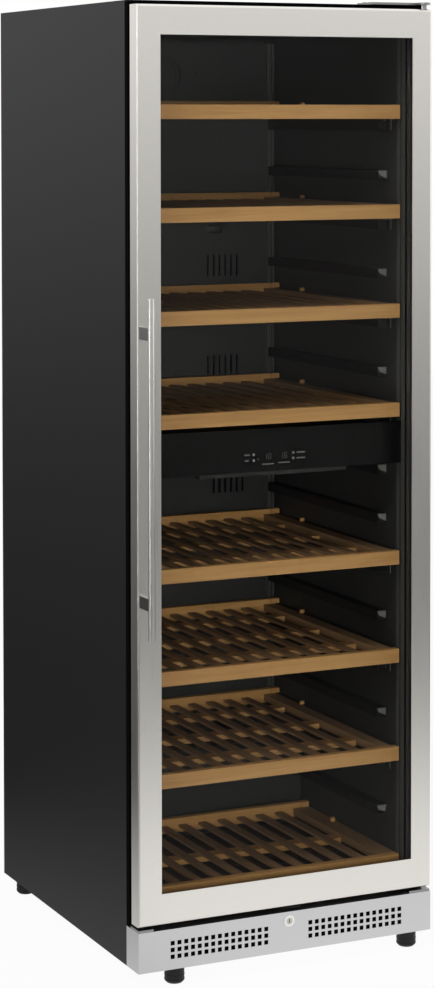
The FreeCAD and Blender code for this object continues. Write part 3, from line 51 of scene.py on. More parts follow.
KEYS = ["key_power", "key_light", "key_up", "key_down"]
FEET = ["foot_front_left", "foot_front_right", "foot_rear_left", "foot_rear_right"]

DOOR_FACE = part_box("door_frame")[0].y


# Colours

def shade(red, green, blue):
    """A colour written as 0 to 255 display values, as the linear values that shaders take."""
    return tuple((value / 255 / 12.92) if value <= 10 else ((value / 255 + 0.055) / 1.055) ** 2.4
                 for value in (red, green, blue)) + (1.0,)


def grey(level):
    """A linear grey."""
    return (level, level, level, 1.0)


# Shader nodes that the effects, the glass, the floor and the world share

def maths(nodes, operation, fixed=()):
    """A Math node, with its fixed inputs as pairs of place and value."""
    node = nodes.new("ShaderNodeMath")
    node.operation = operation
    for place, value in fixed:
        node.inputs[place].default_value = value
    return node


def colour_mix(nodes):
    """A Mix node for colours."""
    node = nodes.new("ShaderNodeMix")
    node.data_type = "RGBA"
    return node


# Shared effects

def effect(name, inputs, outputs):
    """An empty node group with its sockets, and its input and output nodes."""
    tree = bpy.data.node_groups.new(name, "ShaderNodeTree")
    for label, kind, value in inputs:
        tree.interface.new_socket(label, in_out="INPUT", socket_type=kind).default_value = value
    for label, kind in outputs:
        tree.interface.new_socket(label, in_out="OUTPUT", socket_type=kind)
    return tree, tree.nodes.new("NodeGroupInput"), tree.nodes.new("NodeGroupOutput")


def stretched_noise(tree, given, detail):
    """Noise in the object's own space, drawn out along the axes by the Stretch input."""
    nodes, links = tree.nodes, tree.links
    spot = nodes.new("ShaderNodeTexCoord")
    sized = nodes.new("ShaderNodeVectorMath")
    sized.operation = "MULTIPLY"
    noise = nodes.new("ShaderNodeTexNoise")
    noise.inputs["Scale"].default_value = 1.0
    noise.inputs["Detail"].default_value = detail
    links.new(spot.outputs["Object"], sized.inputs[0])
    links.new(given.outputs["Stretch"], sized.inputs[1])
    links.new(sized.outputs["Vector"], noise.inputs["Vector"])
    return noise


def build_brushing():
    """Fine parallel brush lines for sheet steel: roughness and height."""
    tree, given, made = effect("brushing", [
        ("Stretch", "NodeSocketVector", (900.0, 900.0, 12.0)),
        ("Roughness", "NodeSocketFloat", 0.3), ("Spread", "NodeSocketFloat", 0.12),
    ], [("Roughness", "NodeSocketFloat"), ("Height", "NodeSocketFloat")])
    noise = stretched_noise(tree, given, 3.0)
    nodes, links = tree.nodes, tree.links
    centred = maths(nodes, "SUBTRACT", [(1, 0.5)])
    rough = maths(nodes, "MULTIPLY_ADD")
    links.new(noise.outputs["Fac"], centred.inputs[0])
    links.new(centred.outputs["Value"], rough.inputs[0])
    links.new(given.outputs["Spread"], rough.inputs[1])
    links.new(given.outputs["Roughness"], rough.inputs[2])
    links.new(rough.outputs["Value"], made.inputs["Roughness"])
    links.new(noise.outputs["Fac"], made.inputs["Height"])
    return tree


def build_stipple():
    """Fine stipple of paint or moulded plastic: a height and a small change of tone."""
    tree, given, made = effect("stipple", [
        ("Stretch", "NodeSocketVector", (700.0, 700.0, 700.0)),
        ("Colour", "NodeSocketColor", (0.05, 0.05, 0.05, 1.0)), ("Tone", "NodeSocketFloat", 0.15),
    ], [("Color", "NodeSocketColor"), ("Height", "NodeSocketFloat")])
    noise = stretched_noise(tree, given, 2.0)
    nodes, links = tree.nodes, tree.links
    dark = maths(nodes, "MULTIPLY")
    mix = colour_mix(nodes)
    mix.inputs["B"].default_value = grey(0.0)
    links.new(noise.outputs["Fac"], dark.inputs[0])
    links.new(given.outputs["Tone"], dark.inputs[1])
    links.new(dark.outputs["Value"], mix.inputs["Factor"])
    links.new(given.outputs["Colour"], mix.inputs["A"])
    links.new(mix.outputs["Result"], made.inputs["Color"])
    links.new(noise.outputs["Fac"], made.inputs["Height"])
    return tree


def build_wood_grain():
    """Long wood grain along the axis with the small Stretch, each board a little different."""
    tree, given, made = effect("wood_grain", [
        ("Stretch", "NodeSocketVector", (6.0, 160.0, 160.0)),
        ("Light", "NodeSocketColor", (0.4, 0.22, 0.09, 1.0)),
        ("Dark", "NodeSocketColor", (0.2, 0.1, 0.04, 1.0)), ("Contrast", "NodeSocketFloat", 0.8),
    ], [("Color", "NodeSocketColor"), ("Height", "NodeSocketFloat")])
    nodes, links = tree.nodes, tree.links
    noise = stretched_noise(tree, given, 4.0)
    noise.inputs["Distortion"].default_value = 0.6
    board_spread, board_start = 0.35, -0.17
    board = nodes.new("ShaderNodeNewGeometry")
    shift = maths(nodes, "MULTIPLY_ADD", [(1, board_spread), (2, board_start)])
    total = maths(nodes, "MULTIPLY_ADD")
    mix = colour_mix(nodes)
    links.new(board.outputs["Random Per Island"], shift.inputs[0])
    links.new(noise.outputs["Fac"], total.inputs[0])
    links.new(given.outputs["Contrast"], total.inputs[1])
    links.new(shift.outputs["Value"], total.inputs[2])
    links.new(total.outputs["Value"], mix.inputs["Factor"])
    links.new(given.outputs["Light"], mix.inputs["A"])
    links.new(given.outputs["Dark"], mix.inputs["B"])
    links.new(mix.outputs["Result"], made.inputs["Color"])
    links.new(noise.outputs["Fac"], made.inputs["Height"])
    return tree


BRUSHING = build_brushing()
STIPPLE = build_stipple()
WOOD_GRAIN = build_wood_grain()


# Finishes

BRUSH_DEPTH = 0.0002
STIPPLE_DEPTH = 0.0003
GRAIN_DEPTH = 0.0003
WOOD_CONTRAST = 0.8
PANE_TINT = (0.955, 0.955, 0.95, 1.0)


def finish(name, colour, roughness, metallic=0.0, **more):
    """A material with its shader's own sockets set. Returns the material and the shader."""
    material = bpy.data.materials.new(name)
    material.use_nodes = True
    shader = material.node_tree.nodes["Principled BSDF"]
    shader.inputs["Base Color"].default_value = colour
    shader.inputs["Roughness"].default_value = roughness
    shader.inputs["Metallic"].default_value = metallic
    for label, value in more.items():
        shader.inputs[label.replace("_", " ")].default_value = value
    return material, shader


def smooth(name, colour, roughness, metallic=0.0, **more):
    """An even finish without grain."""
    return finish(name, colour, roughness, metallic, **more)[0]


def placed(material, group, **values):
    """An effect placed in a material, with its own values."""
    node = material.node_tree.nodes.new("ShaderNodeGroup")
    node.node_tree = group
    for label, value in values.items():
        node.inputs[label].default_value = value
    return node


def raised(material, shader, height, strength, distance):
    """Feeds a height through a bump into the shader's normal."""
    bump = material.node_tree.nodes.new("ShaderNodeBump")
    bump.inputs["Strength"].default_value = strength
    bump.inputs["Distance"].default_value = distance
    material.node_tree.links.new(height, bump.inputs["Height"])
    material.node_tree.links.new(bump.outputs["Normal"], shader.inputs["Normal"])


def brushed(name, colour, stretch, roughness=0.3, spread=0.12, strength=0.12):
    """Brushed metal, its lines along the axis with the small stretch."""
    material, shader = finish(name, colour, roughness, 1.0)
    lines = placed(material, BRUSHING, Stretch=stretch, Roughness=roughness, Spread=spread)
    material.node_tree.links.new(lines.outputs["Roughness"], shader.inputs["Roughness"])
    raised(material, shader, lines.outputs["Height"], strength, BRUSH_DEPTH)
    return material


def stippled(name, colour, roughness, scale=700.0, tone=0.15, strength=0.15, metallic=0.0, **more):
    """Paint or moulded plastic with a fine stipple."""
    material, shader = finish(name, colour, roughness, metallic, **more)
    grain = placed(material, STIPPLE, Stretch=(scale,) * 3, Colour=colour, Tone=tone)
    material.node_tree.links.new(grain.outputs["Color"], shader.inputs["Base Color"])
    raised(material, shader, grain.outputs["Height"], strength, STIPPLE_DEPTH)
    return material


def wood(name, stretch, light, dark):
    """Oiled beech, its grain along the axis with the small stretch."""
    material, shader = finish(name, light, 0.5)
    grain = placed(material, WOOD_GRAIN, Stretch=stretch, Light=light, Dark=dark, Contrast=WOOD_CONTRAST)
    material.node_tree.links.new(grain.outputs["Color"], shader.inputs["Base Color"])
    raised(material, shader, grain.outputs["Height"], 0.2, GRAIN_DEPTH)
    return material


def clear_glass(name):
    """Window glass that lets light from the lamps straight through."""
    material, shader = finish(name, shade(250, 250, 248), 0.0, IOR=1.08)
    shader.inputs["Transmission Weight"].default_value = 1.0
    nodes, links = material.node_tree.nodes, material.node_tree.links
    path = nodes.new("ShaderNodeLightPath")
    straight = maths(nodes, "MAXIMUM")
    clear = nodes.new("ShaderNodeBsdfTransparent")
    clear.inputs["Color"].default_value = PANE_TINT
    mix = nodes.new("ShaderNodeMixShader")
    links.new(path.outputs["Is Shadow Ray"], straight.inputs[0])
    links.new(path.outputs["Is Diffuse Ray"], straight.inputs[1])
    links.new(straight.outputs["Value"], mix.inputs["Fac"])
    links.new(shader.outputs["BSDF"], mix.inputs[1])
    links.new(clear.outputs["BSDF"], mix.inputs[2])
    links.new(mix.outputs["Shader"], nodes["Material Output"].inputs["Surface"])
    return material


LINES_X = (8.0, 900.0, 900.0)
LINES_Z = (900.0, 900.0, 8.0)
GRAIN_X = (7.0, 170.0, 170.0)
GRAIN_Y = (170.0, 7.0, 170.0)

DOOR_STEEL = brushed("door_steel", shade(230, 227, 221), LINES_Z)
PLINTH_STEEL = brushed("plinth_steel", shade(205, 205, 206), LINES_X, 0.34)
HANDLE_STEEL = brushed("handle_steel", shade(246, 244, 240), LINES_Z, 0.28)
# The posts take a darker copy of the handle's steel: painted shade for the dark reflections on their sides.
SHADED_POST_STEEL = brushed("post_steel_painted_shade", shade(150, 149, 146), LINES_Z, 0.3)
BLACK_PAINT = stippled("black_paint", shade(28, 28, 30), 0.42, Specular_IOR_Level=0.13)
ZINC_SHEET = stippled("zinc_sheet", shade(176, 178, 180), 0.42, 60.0, 0.2, 0.05, 0.9)
HINGE_ZINC = stippled("hinge_zinc", shade(150, 151, 149), 0.28, 300.0, 0.1, 0.05, 1.0)
BRASS = smooth("lock_brass", shade(196, 192, 180), 0.3, 1.0)
LOCK_CHROME = smooth("lock_chrome", shade(232, 231, 228), 0.2, 1.0)
LINER_PLASTIC = stippled("liner_plastic", shade(30, 30, 31), 0.55, 500.0)
DUCT_PAINT = stippled("duct_paint", shade(31, 31, 32), 0.5, 600.0)
BLACK_PLASTIC = stippled("black_plastic", shade(28, 28, 29), 0.5, 500.0)
FRAME_PLASTIC = stippled("frame_plastic", shade(18, 18, 19), 0.6, 500.0, Specular_IOR_Level=0.25)
# Lustreless near-black: on the front frame, its own black deepened into painted shade of the gap beside the
# door; behind slots and holes, painted shade.
SHADE_BLACK = stippled("black_painted_shade", shade(4, 4, 5), 0.8, 500.0, Specular_IOR_Level=0.02)
FOOT_PLASTIC = stippled("foot_plastic", shade(15, 15, 16), 0.5, 400.0, Specular_IOR_Level=0.3)
GLOSS_BLACK = smooth("gloss_black", shade(7, 7, 8), 0.25, Specular_IOR_Level=0.22)
KEY_BLACK = smooth("key_black", shade(34, 34, 36), 0.3)
LAMP_COVER = smooth("lamp_cover", shade(12, 12, 13), 0.4)
SPACER_BLACK = stippled("spacer_black", shade(20, 20, 21), 0.6, 500.0, Specular_IOR_Level=0.2)
RUBBER = stippled("seal_rubber", shade(30, 30, 30), 0.75, 300.0)
GLASS = clear_glass("pane_glass")
ALUMINIUM = stippled("mill_aluminium", shade(196, 198, 200), 0.38, 150.0, 0.15, 0.05, 1.0)
COPPER = stippled("copper_tube", shade(196, 124, 88), 0.3, 90.0, 0.2, 0.05, 1.0)
# Mid grey of the jamb strips: painted light, the sheen the jambs show.
JAMB_SHEEN_GREY = stippled("jamb_painted_sheen", shade(62, 62, 61), 0.35, 300.0)
# Light grey of the corner channels: partly painted highlight along the duct covers' edges.
CHANNEL_SHEEN_GREY = stippled("channel_grey_painted_sheen", shade(52, 52, 50), 0.5, 300.0)
# Pale grey of the rib end plates and guide ends: painted highlight on the ribs' lit front ends.
RIB_END_SHEEN_GREY = smooth("rib_end_painted_highlight", shade(100, 100, 98), 0.45)
# Black of the rails' strips, and painted shade for the screws' cross recesses.
STRIP_BLACK_AND_RECESS_SHADE = stippled("strip_black_and_recess_shade", shade(22, 22, 23), 0.5, Specular_IOR_Level=0.25)
PRINT_GREY = smooth("print_grey", shade(96, 96, 98), 0.5)
PRINT_WHITE = smooth("print_white", shade(190, 190, 192), 0.5)
DISPLAY_GLOW = smooth("display_glow", shade(70, 72, 76), 0.4)
LED_YELLOW = smooth("led_yellow", shade(220, 200, 110), 0.4)
FOAM = stippled("foam", shade(226, 212, 168), 0.9, 250.0, 0.2, 0.4)
WOOD_X = wood("beech_along_x", GRAIN_X, shade(184, 143, 90), shade(132, 92, 50))
# The rails and slats take a darker copy of the beech: painted shade for the grazing light on their tops.
SHADED_WOOD_Y = wood("beech_along_y_painted_shade", GRAIN_Y, shade(128, 100, 72), shade(92, 68, 48))

FINISH_OF = {
    "side_panel_left": BLACK_PAINT, "side_panel_right": BLACK_PAINT, "top_panel": BLACK_PAINT,
    "compressor": BLACK_PAINT, "rear_panel": ZINC_SHEET, "base_tray": ZINC_SHEET,
    "service_cover": ZINC_SHEET, "door_frame": DOOR_STEEL, "plinth": PLINTH_STEEL,
    "handle_bar": HANDLE_STEEL, "handle_posts": SHADED_POST_STEEL, "hinge_brackets": HINGE_ZINC,
    "screws": HINGE_ZINC, "lock_housing": LOCK_CHROME, "lock_cylinder": BRASS,
    "foam_insulation": FOAM, "inner_liner": LINER_PLASTIC, "shelf_ribs": FRAME_PLASTIC,
    "shelf_guides": FRAME_PLASTIC, "front_frame": SHADE_BLACK, "duct_covers": DUCT_PAINT,
    "zone_divider": FRAME_PLASTIC, "door_core": BLACK_PLASTIC, "hinge_bushes": BLACK_PLASTIC,
    "cable_gland": BLACK_PLASTIC, "carbon_filter": BLACK_PLASTIC, "drip_tray": BLACK_PLASTIC,
    "electronics_box": BLACK_PLASTIC, "control_fascia": GLOSS_BLACK, "control_board": GLOSS_BLACK,
    "light_strips": LAMP_COVER, "door_gasket": RUBBER, "compressor_mounts": RUBBER,
    "glass_outer": GLASS, "glass_inner": GLASS, "glass_spacer": SPACER_BLACK,
    "evaporators": ALUMINIUM, "condenser": BLACK_PAINT, "refrigerant_pipes": COPPER,
    "fan_frames": BLACK_PLASTIC, "fan_rotor_upper": BLACK_PLASTIC,
    "fan_rotor_lower": BLACK_PLASTIC, "condenser_fan_rotor": BLACK_PLASTIC,
}
FINISH_OF.update({name: KEY_BLACK for name in KEYS})
FINISH_OF.update({name: FOOT_PLASTIC for name in FEET})

ROUND_OVER_OF = {
    "plinth": 0.0006, "handle_posts": 0.001, "handle_bar": 0.0012, "front_frame": 0.0008,
    "control_fascia": 0.0006, "hinge_brackets": 0.0005, "shelf_ribs": 0.0015, "zone_divider": 0.001,
    "drip_tray": 0.001,
}
BOARD_ROUND_OVER = 0.0012
SHARP_EDGE = math.radians(40)


def dress(name, material):
    """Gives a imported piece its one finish."""
    mesh = NODES[name].data
    mesh.materials.clear()
    mesh.materials.append(material)


def soften(name, width):
    """A small round-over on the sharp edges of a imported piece."""
    bevel = NODES[name].modifiers.new("round_over", "BEVEL")
    bevel.width = width
    bevel.segments = 2
    bevel.limit_method = "ANGLE"
    bevel.angle_limit = SHARP_EDGE
    bevel.harden_normals = True


def islands(mesh):
    """The face lists of a mesh's separate boards, joined across edges that just two faces share."""
    part = list(range(len(mesh.polygons)))

    def root(index):
        while part[index] != index:
            part[index] = part[part[index]]
            index = part[index]
        return index

    spots = {}
    place = [spots.setdefault(tuple(round(value, 6) for value in vertex.co), vertex.index)
             for vertex in mesh.vertices]
    edges = {}
    for polygon in mesh.polygons:
        corners = [place[index] for index in polygon.vertices]
        for pair in zip(corners, corners[1:] + corners[:1]):
            edges.setdefault(frozenset(pair), []).append(polygon.index)
    for faces in edges.values():
        if len(faces) == 2:
            part[root(faces[1])] = root(faces[0])
    boards = {}
    for polygon in mesh.polygons:
        boards.setdefault(root(polygon.index), []).append(polygon)
    return boards.values()


def reach(mesh, board):
    """The lowest and highest corners, in metres, of a list of faces."""
    spots = [mesh.vertices[index].co for polygon in board for index in polygon.vertices]
    return (Vector(min(spot[axis] for spot in spots) for axis in range(3)),
            Vector(max(spot[axis] for spot in spots) for axis in range(3)))


def dress_shelf(name):
    """Grain along each board: X for the boards across, Y for the rails and slats, whose darker beech is
    painted shade.
    """
    mesh = NODES[name].data
    mesh.materials.clear()
    mesh.materials.append(WOOD_X)
    mesh.materials.append(SHADED_WOOD_Y)
    for board in islands(mesh):
        low, high = reach(mesh, board)
        for polygon in board:
            polygon.material_index = 0 if high.x - low.x > high.y - low.y else 1
    soften(name, BOARD_ROUND_OVER)


for node_name, node_finish in FINISH_OF.items():
    dress(node_name, node_finish)
for shelf_name in SHELVES:
    dress_shelf(shelf_name)
for node_name, edge_width in ROUND_OVER_OF.items():
    soften(node_name, edge_width)


# Tools for the small parts

DOME_STEPS = 5


def at(x, depth, z):
    """Millimetres across, back from the door's face and up, as a point in metres."""
    return Vector((x / 1000, DOOR_FACE + depth / 1000, z / 1000))


def depth_of(y):
    """How many millimetres a place in metres lies back from the door's face."""
    return (y - DOOR_FACE) * 1000


def piece(name, make, body, material):
    """A part that the function given fills in with bmesh, finished, and riding on a body."""
    shape = bmesh.new()
    make(shape)
    bmesh.ops.recalc_face_normals(shape, faces=shape.faces)
    mesh = bpy.data.meshes.new(name)
    shape.to_mesh(mesh)
    shape.free()
    thing = bpy.data.objects.new(name, mesh)
    bpy.context.scene.collection.objects.link(thing)
    mesh.materials.append(material)
    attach(thing, body)
    return thing


def add_block(shape, low, high):
    """A box between two corners."""
    middle = (Vector(low) + Vector(high)) / 2
    size = Vector(high) - Vector(low)
    bmesh.ops.create_cube(shape, size=1.0, matrix=Matrix.Translation(middle) @ Matrix.Diagonal((*size, 1.0)))


def add_ring(shape, middle, radius, sides, place=Matrix.Identity(4)):
    """The corners of a level circle round a middle, carried along by a placing matrix."""
    return [shape.verts.new(place @ Vector((middle[0] + radius * math.cos(2 * math.pi * side / sides),
                                            middle[1] + radius * math.sin(2 * math.pi * side / sides),
                                            middle[2]))) for side in range(sides)]


def add_band(shape, first, second):
    """Faces between two closed rings of corners."""
    for index in range(len(first)):
        after = (index + 1) % len(first)
        shape.faces.new((first[index], first[after], second[after], second[index]))


def add_disc(shape, middle, axis, radius, depth, sides=16, dome=0.0):
    """A short round plug along an axis, with a domed end if asked."""
    turn = Vector(axis).to_track_quat("Z", "Y").to_matrix().to_4x4()
    place = Matrix.Translation(Vector(middle)) @ turn
    levels = [(radius, 0.0), (radius, depth)]
    if dome:
        bends = [step * math.pi / 2 / DOME_STEPS for step in range(1, DOME_STEPS)]
        levels += [(radius * math.cos(bend), depth + dome * math.sin(bend)) for bend in bends]
    rings = [add_ring(shape, (0.0, 0.0, up), wide, sides, place) for wide, up in levels]
    for lower, upper in zip(rings, rings[1:]):
        add_band(shape, lower, upper)
    shape.faces.new(rings[0][::-1])
    shape.faces.new(rings[-1])


def add_frame(shape, low, high, profile):
    """A closed profile carried round a rectangle in the door's plane.

    The profile holds pairs: outwards from the rectangle and back from the door's face, in millimetres.
    """
    corners = [(low[0], low[1], -1, -1), (high[0], low[1], 1, -1), (high[0], high[1], 1, 1),
               (low[0], high[1], -1, 1)]
    rings = [[shape.verts.new(at(x + out * side, back, z + out * end)) for x, z, side, end in corners]
             for out, back in profile]
    for ring, after in zip(rings, rings[1:] + rings[:1]):
        add_band(shape, ring, after)


def node_islands(name):
    """The lowest and highest corners, in metres, of each separate solid of a node."""
    mesh = NODES[name].data
    return [reach(mesh, board) for board in islands(mesh)]


# Trim of the door and the cabinet, in millimetres

GASKET_WIDTH = 14.0
# One half of the seal's section: in from its edge, and the share of its depth
GASKET_FOLDS = [(2.5, 0.0), (2.5, 0.12), (4.6, 0.16), (1.2, 0.3), (1.0, 0.36), (4.4, 0.5), (0.6, 0.6),
                (0.0, 0.66), (0.0, 0.96), (0.5, 1.0)]

LINER_HALF = 263.0
JAMB_STRIP = (0.6, 0.02)
JAMB_HEIGHTS = (132, 1706)

# Folds of a corner channel: inner edge, outer edge and how far behind the duct covers' face it begins
CHANNEL_FOLDS = ((243.0, 261.0, 6.0), (244.5, 249.0, 1.0), (255.5, 260.0, 1.0))
CHANNEL_BACK = 7.0
ZONE_HEIGHTS = ((306, 903), (967, 1703))

# Groups of air slots on each side: their middle across and their middle height
SLOT_GROUPS = ((142.5, 1253), (142.5, 1049), (155, 810))
SLOT_HALF_WIDE, SLOT_HALF_TALL = 37, 24
# Black sheets set this far behind the slots and holes paint the shade inside them.
BEHIND_SLOTS = 2.6
HOLE_FIELDS = ((-236, -26), (29, 246))
HOLE_HEIGHTS = (46, 101)
BEHIND_HOLES = 4.0
SHADE_SHEET_THICK = 0.4


def build_gasket():
    """Magnetic door seal: foot, two soft folds and the magnet's hollow head."""
    low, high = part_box("door_gasket")
    front = depth_of(low.y)
    deep = depth_of(high.y) - front
    inner_low = (low.x * 1000 + GASKET_WIDTH, low.z * 1000 + GASKET_WIDTH)
    inner_high = (high.x * 1000 - GASKET_WIDTH, high.z * 1000 - GASKET_WIDTH)
    profile = [(near, front + deep * share) for near, share in GASKET_FOLDS]
    profile += [(GASKET_WIDTH - near, front + deep * share) for near, share in reversed(GASKET_FOLDS)]

    def bellows(shape):
        add_frame(shape, inner_low, inner_high, profile)
    seal = piece("gasket_bellows", bellows, "door", RUBBER)
    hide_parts("door_gasket")


def build_jamb_sheen_strips():
    """Pale strips on the cabinet's side jambs, one on the front frame and one on the liner behind it: painted
    light for the sheen that the jambs catch.
    """
    low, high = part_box("front_frame")
    front, back = depth_of(low.y), depth_of(high.y)
    bottom, top = JAMB_HEIGHTS

    def strips(shape):
        for side in (-1, 1):
            across = sorted(side * (LINER_HALF - inset) for inset in JAMB_STRIP)
            for start, end in ((front + 0.6, back - 0.5), (back + 6.0, back + 17.0)):
                add_block(shape, at(across[0], start, bottom), at(across[1], end, top))
    piece("jamb_sheen_strips", strips, "cabinet", JAMB_SHEEN_GREY)


def build_corner_channels():
    """Folded channels that stand in the rear corners, beside the duct covers; their light grey is partly
    painted highlight, the light lines along the covers' edges.
    """
    face = depth_of(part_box("duct_covers")[0].y)

    def channels(shape):
        for side in (-1, 1):
            for near, far, front in CHANNEL_FOLDS:
                across = sorted((side * near, side * far))
                for bottom, top in ZONE_HEIGHTS:
                    add_block(shape, at(across[0], face + front, bottom),
                              at(across[1], face + CHANNEL_BACK, top))
    piece("corner_channels", channels, "cabinet", CHANNEL_SHEEN_GREY)


def build_shade_sheets():
    """Black sheets behind the air slots of the duct covers and behind the plinth's holes: painted shade
    inside them.
    """
    duct = depth_of(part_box("duct_covers")[0].y) + BEHIND_SLOTS
    plinth = depth_of(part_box("plinth")[0].y) + BEHIND_HOLES

    def slots(shape):
        for middle, height in SLOT_GROUPS:
            for side in (-1, 1):
                add_block(shape, at(side * middle - SLOT_HALF_WIDE, duct, height - SLOT_HALF_TALL),
                          at(side * middle + SLOT_HALF_WIDE, duct + SHADE_SHEET_THICK, height + SLOT_HALF_TALL))
    piece("slot_shade_sheets", slots, "cabinet", SHADE_BLACK)

    def sheets(shape):
        bottom, top = HOLE_HEIGHTS
        for left, right in HOLE_FIELDS:
            add_block(shape, at(left, plinth, bottom), at(right, plinth + SHADE_SHEET_THICK, top))
    piece("plinth_shade_sheets", sheets, "cabinet", SHADE_BLACK)


# Fittings of the ribs, guides and shelves, in metres

# A rib in use has a shelf's underside within this range above it
RIB_IN_USE = (-0.002, 0.014)
PLATE_THICK = 0.0008
# Corners of a rib's end plate: in from the inner edge or from the outer edge, and down from the top
PLATE_TOP = 0.0005
PLATE_OUTER_INSET, PLATE_OUTER_DROP = 0.002, 0.0145
PLATE_INNER_INSET, PLATE_INNER_DROP = 0.004, 0.0085

GUIDE_LEAST_WIDTH = 0.01
GUIDE_END_ACROSS = (0.0105, 0.0115)
GUIDE_END_HEIGHTS = (0.021, 0.0005)
GUIDE_END_THICK = 0.001
RIVET_BACK, RIVET_DOWN, RIVET_RADIUS, RIVET_LIFT, RIVET_DOME = 0.0025, 0.002, 0.0016, 0.0004, 0.0008

STRIP_WIDE = 0.0095
STRIP_HEIGHTS = (0.0001, 0.0009)
STRIP_SHORT = 0.0005


def build_rib_fittings():
    """Pale wedge plates on the front ends of the free ribs, and pale ends and rivets on the guides: painted
    highlight, the light that the ribs' front ends catch.
    """
    undersides = [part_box(name)[0].z for name in SHELVES]

    def plates(shape):
        for low, high in node_islands("shelf_ribs"):
            if any(RIB_IN_USE[0] < underside - high.z < RIB_IN_USE[1] for underside in undersides):
                continue
            side = 1 if high.x > 0 else -1
            inner, outer = sorted((low.x, high.x), key=abs)
            top = high.z - PLATE_TOP
            outline = [(inner, top), (outer - side * PLATE_OUTER_INSET, top),
                       (outer - side * PLATE_OUTER_INSET, high.z - PLATE_OUTER_DROP),
                       (inner + side * PLATE_INNER_INSET, high.z - PLATE_INNER_DROP)]
            front, back = [[shape.verts.new((x, y, z)) for x, z in outline]
                           for y in (low.y - PLATE_THICK, low.y)]
            add_band(shape, front, back)
            shape.faces.new(front)
            shape.faces.new(back[::-1])
    piece("rib_end_plates", plates, "cabinet", RIB_END_SHEEN_GREY)

    def ends(shape):
        for low, high in node_islands("shelf_guides"):
            if high.x - low.x < GUIDE_LEAST_WIDTH:
                continue
            side = 1 if high.x > 0 else -1
            inner = min(low.x, high.x, key=abs)
            across = sorted(inner + side * share for share in GUIDE_END_ACROSS)
            add_block(shape, (across[0], low.y - GUIDE_END_THICK, high.z - GUIDE_END_HEIGHTS[0]),
                      (across[1], low.y, high.z - GUIDE_END_HEIGHTS[1]))
            add_disc(shape, (inner, low.y + RIVET_BACK, high.z - RIVET_DOWN), (-side, 0, 0), RIVET_RADIUS,
                     RIVET_LIFT, dome=RIVET_DOME)
    piece("guide_ends", ends, "cabinet", RIB_END_SHEEN_GREY)


def is_side_rail(low, high):
    """True for a shelf's long thick board at its left or right edge."""
    return high.y - low.y > 0.3 and max(abs(low.x), abs(high.x)) > 0.25 and high.x - low.x > 0.02


def build_side_strips():
    """Black steel strips along the tops of the full shelves' side rails."""
    for name in SHELVES[:-1]:
        rails = [(low, high) for low, high in node_islands(name) if is_side_rail(low, high)]

        def strips(shape):
            for low, high in rails:
                left, right = (high.x - STRIP_WIDE, high.x) if high.x > 0 else (low.x, low.x + STRIP_WIDE)
                add_block(shape, (left, low.y + STRIP_SHORT, high.z + STRIP_HEIGHTS[0]),
                          (right, high.y - STRIP_SHORT, high.z + STRIP_HEIGHTS[1]))
        piece(f"{name}_side_strips", strips, name, STRIP_BLACK_AND_RECESS_SHADE)


# Print on the control strip, in millimetres

SEGMENTS = {"0": "abcdef", "1": "bc", "6": "afgedc"}
PRINT_LIFT = 0.06
PRINT_THICK = 0.05
FIGURE_PAIRS = ((-24.0, "10"), (8.5, "16"))
FIGURE_STEP, FIGURE_BOTTOM, FIGURE_WIDE, FIGURE_TALL, FIGURE_LINE = 8.4, 929.5, 5.6, 10.5, 1.1
FIGURE_SLANT = 0.08
# Dashes: left end, right end, middle height and thickness
DASHES = ((-28.0, -4.0, 920.4, 2.0), (5.0, 28.5, 921.6, 2.0), (-64.0, -53.0, 938.7, 2.4),
          (-63.0, -55.0, 928.3, 2.4), (42.5, 60.0, 938.7, 2.4), (42.5, 60.0, 928.3, 2.4))
DOT_SPOT = (-36.2, 930.0)
# Sizes of the key icons and of the round dot, in metres
DOT_RADIUS, DOT_THICK = 0.0013, 0.0001
ICON_LIFT = 0.00006
RING_INNER, RING_OUTER, RING_SIDES = 0.0009, 0.0017, 20
LAMP_ICON_RADIUS, LAMP_ICON_THICK = 0.0015, 0.00004
ARROW_HALF_WIDE, ARROW_HALF_TALL = 0.0018, 0.0016


def add_digit(shape, figure, left, front):
    """One seven-segment figure, as thin bars on the panel's face."""
    wide, tall, line, half = FIGURE_WIDE, FIGURE_TALL, FIGURE_LINE, FIGURE_TALL / 2
    bars = {"a": (0, tall - line, wide, tall), "d": (0, 0, wide, line),
            "g": (0, half - line / 2, wide, half + line / 2), "f": (0, half, line, tall),
            "b": (wide - line, half, wide, tall), "e": (0, 0, line, half), "c": (wide - line, 0, wide, half)}
    for letter in SEGMENTS[figure]:
        x0, z0, x1, z1 = bars[letter]
        shape.faces.new([shape.verts.new(at(left + x + FIGURE_SLANT * z, front, FIGURE_BOTTOM + z))
                         for x, z in ((x0, z0), (x1, z0), (x1, z1), (x0, z1))])


def build_control_print():
    """Plain figures, dashes and a dot on the glossy control strip."""
    front = depth_of(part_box("control_fascia")[0].y) - PRINT_LIFT

    def figures(shape):
        for left, pair in FIGURE_PAIRS:
            for index, figure in enumerate(pair):
                add_digit(shape, figure, left + index * FIGURE_STEP, front)
    piece("display_figures", figures, "cabinet", DISPLAY_GLOW)

    def dashes(shape):
        for left, right, middle, thick in DASHES:
            add_block(shape, at(left, front, middle - thick / 2),
                      at(right, front + PRINT_THICK, middle + thick / 2))
        add_disc(shape, at(DOT_SPOT[0], front, DOT_SPOT[1]), (0, -1, 0), DOT_RADIUS, DOT_THICK)
    piece("control_print", dashes, "cabinet", PRINT_GREY)


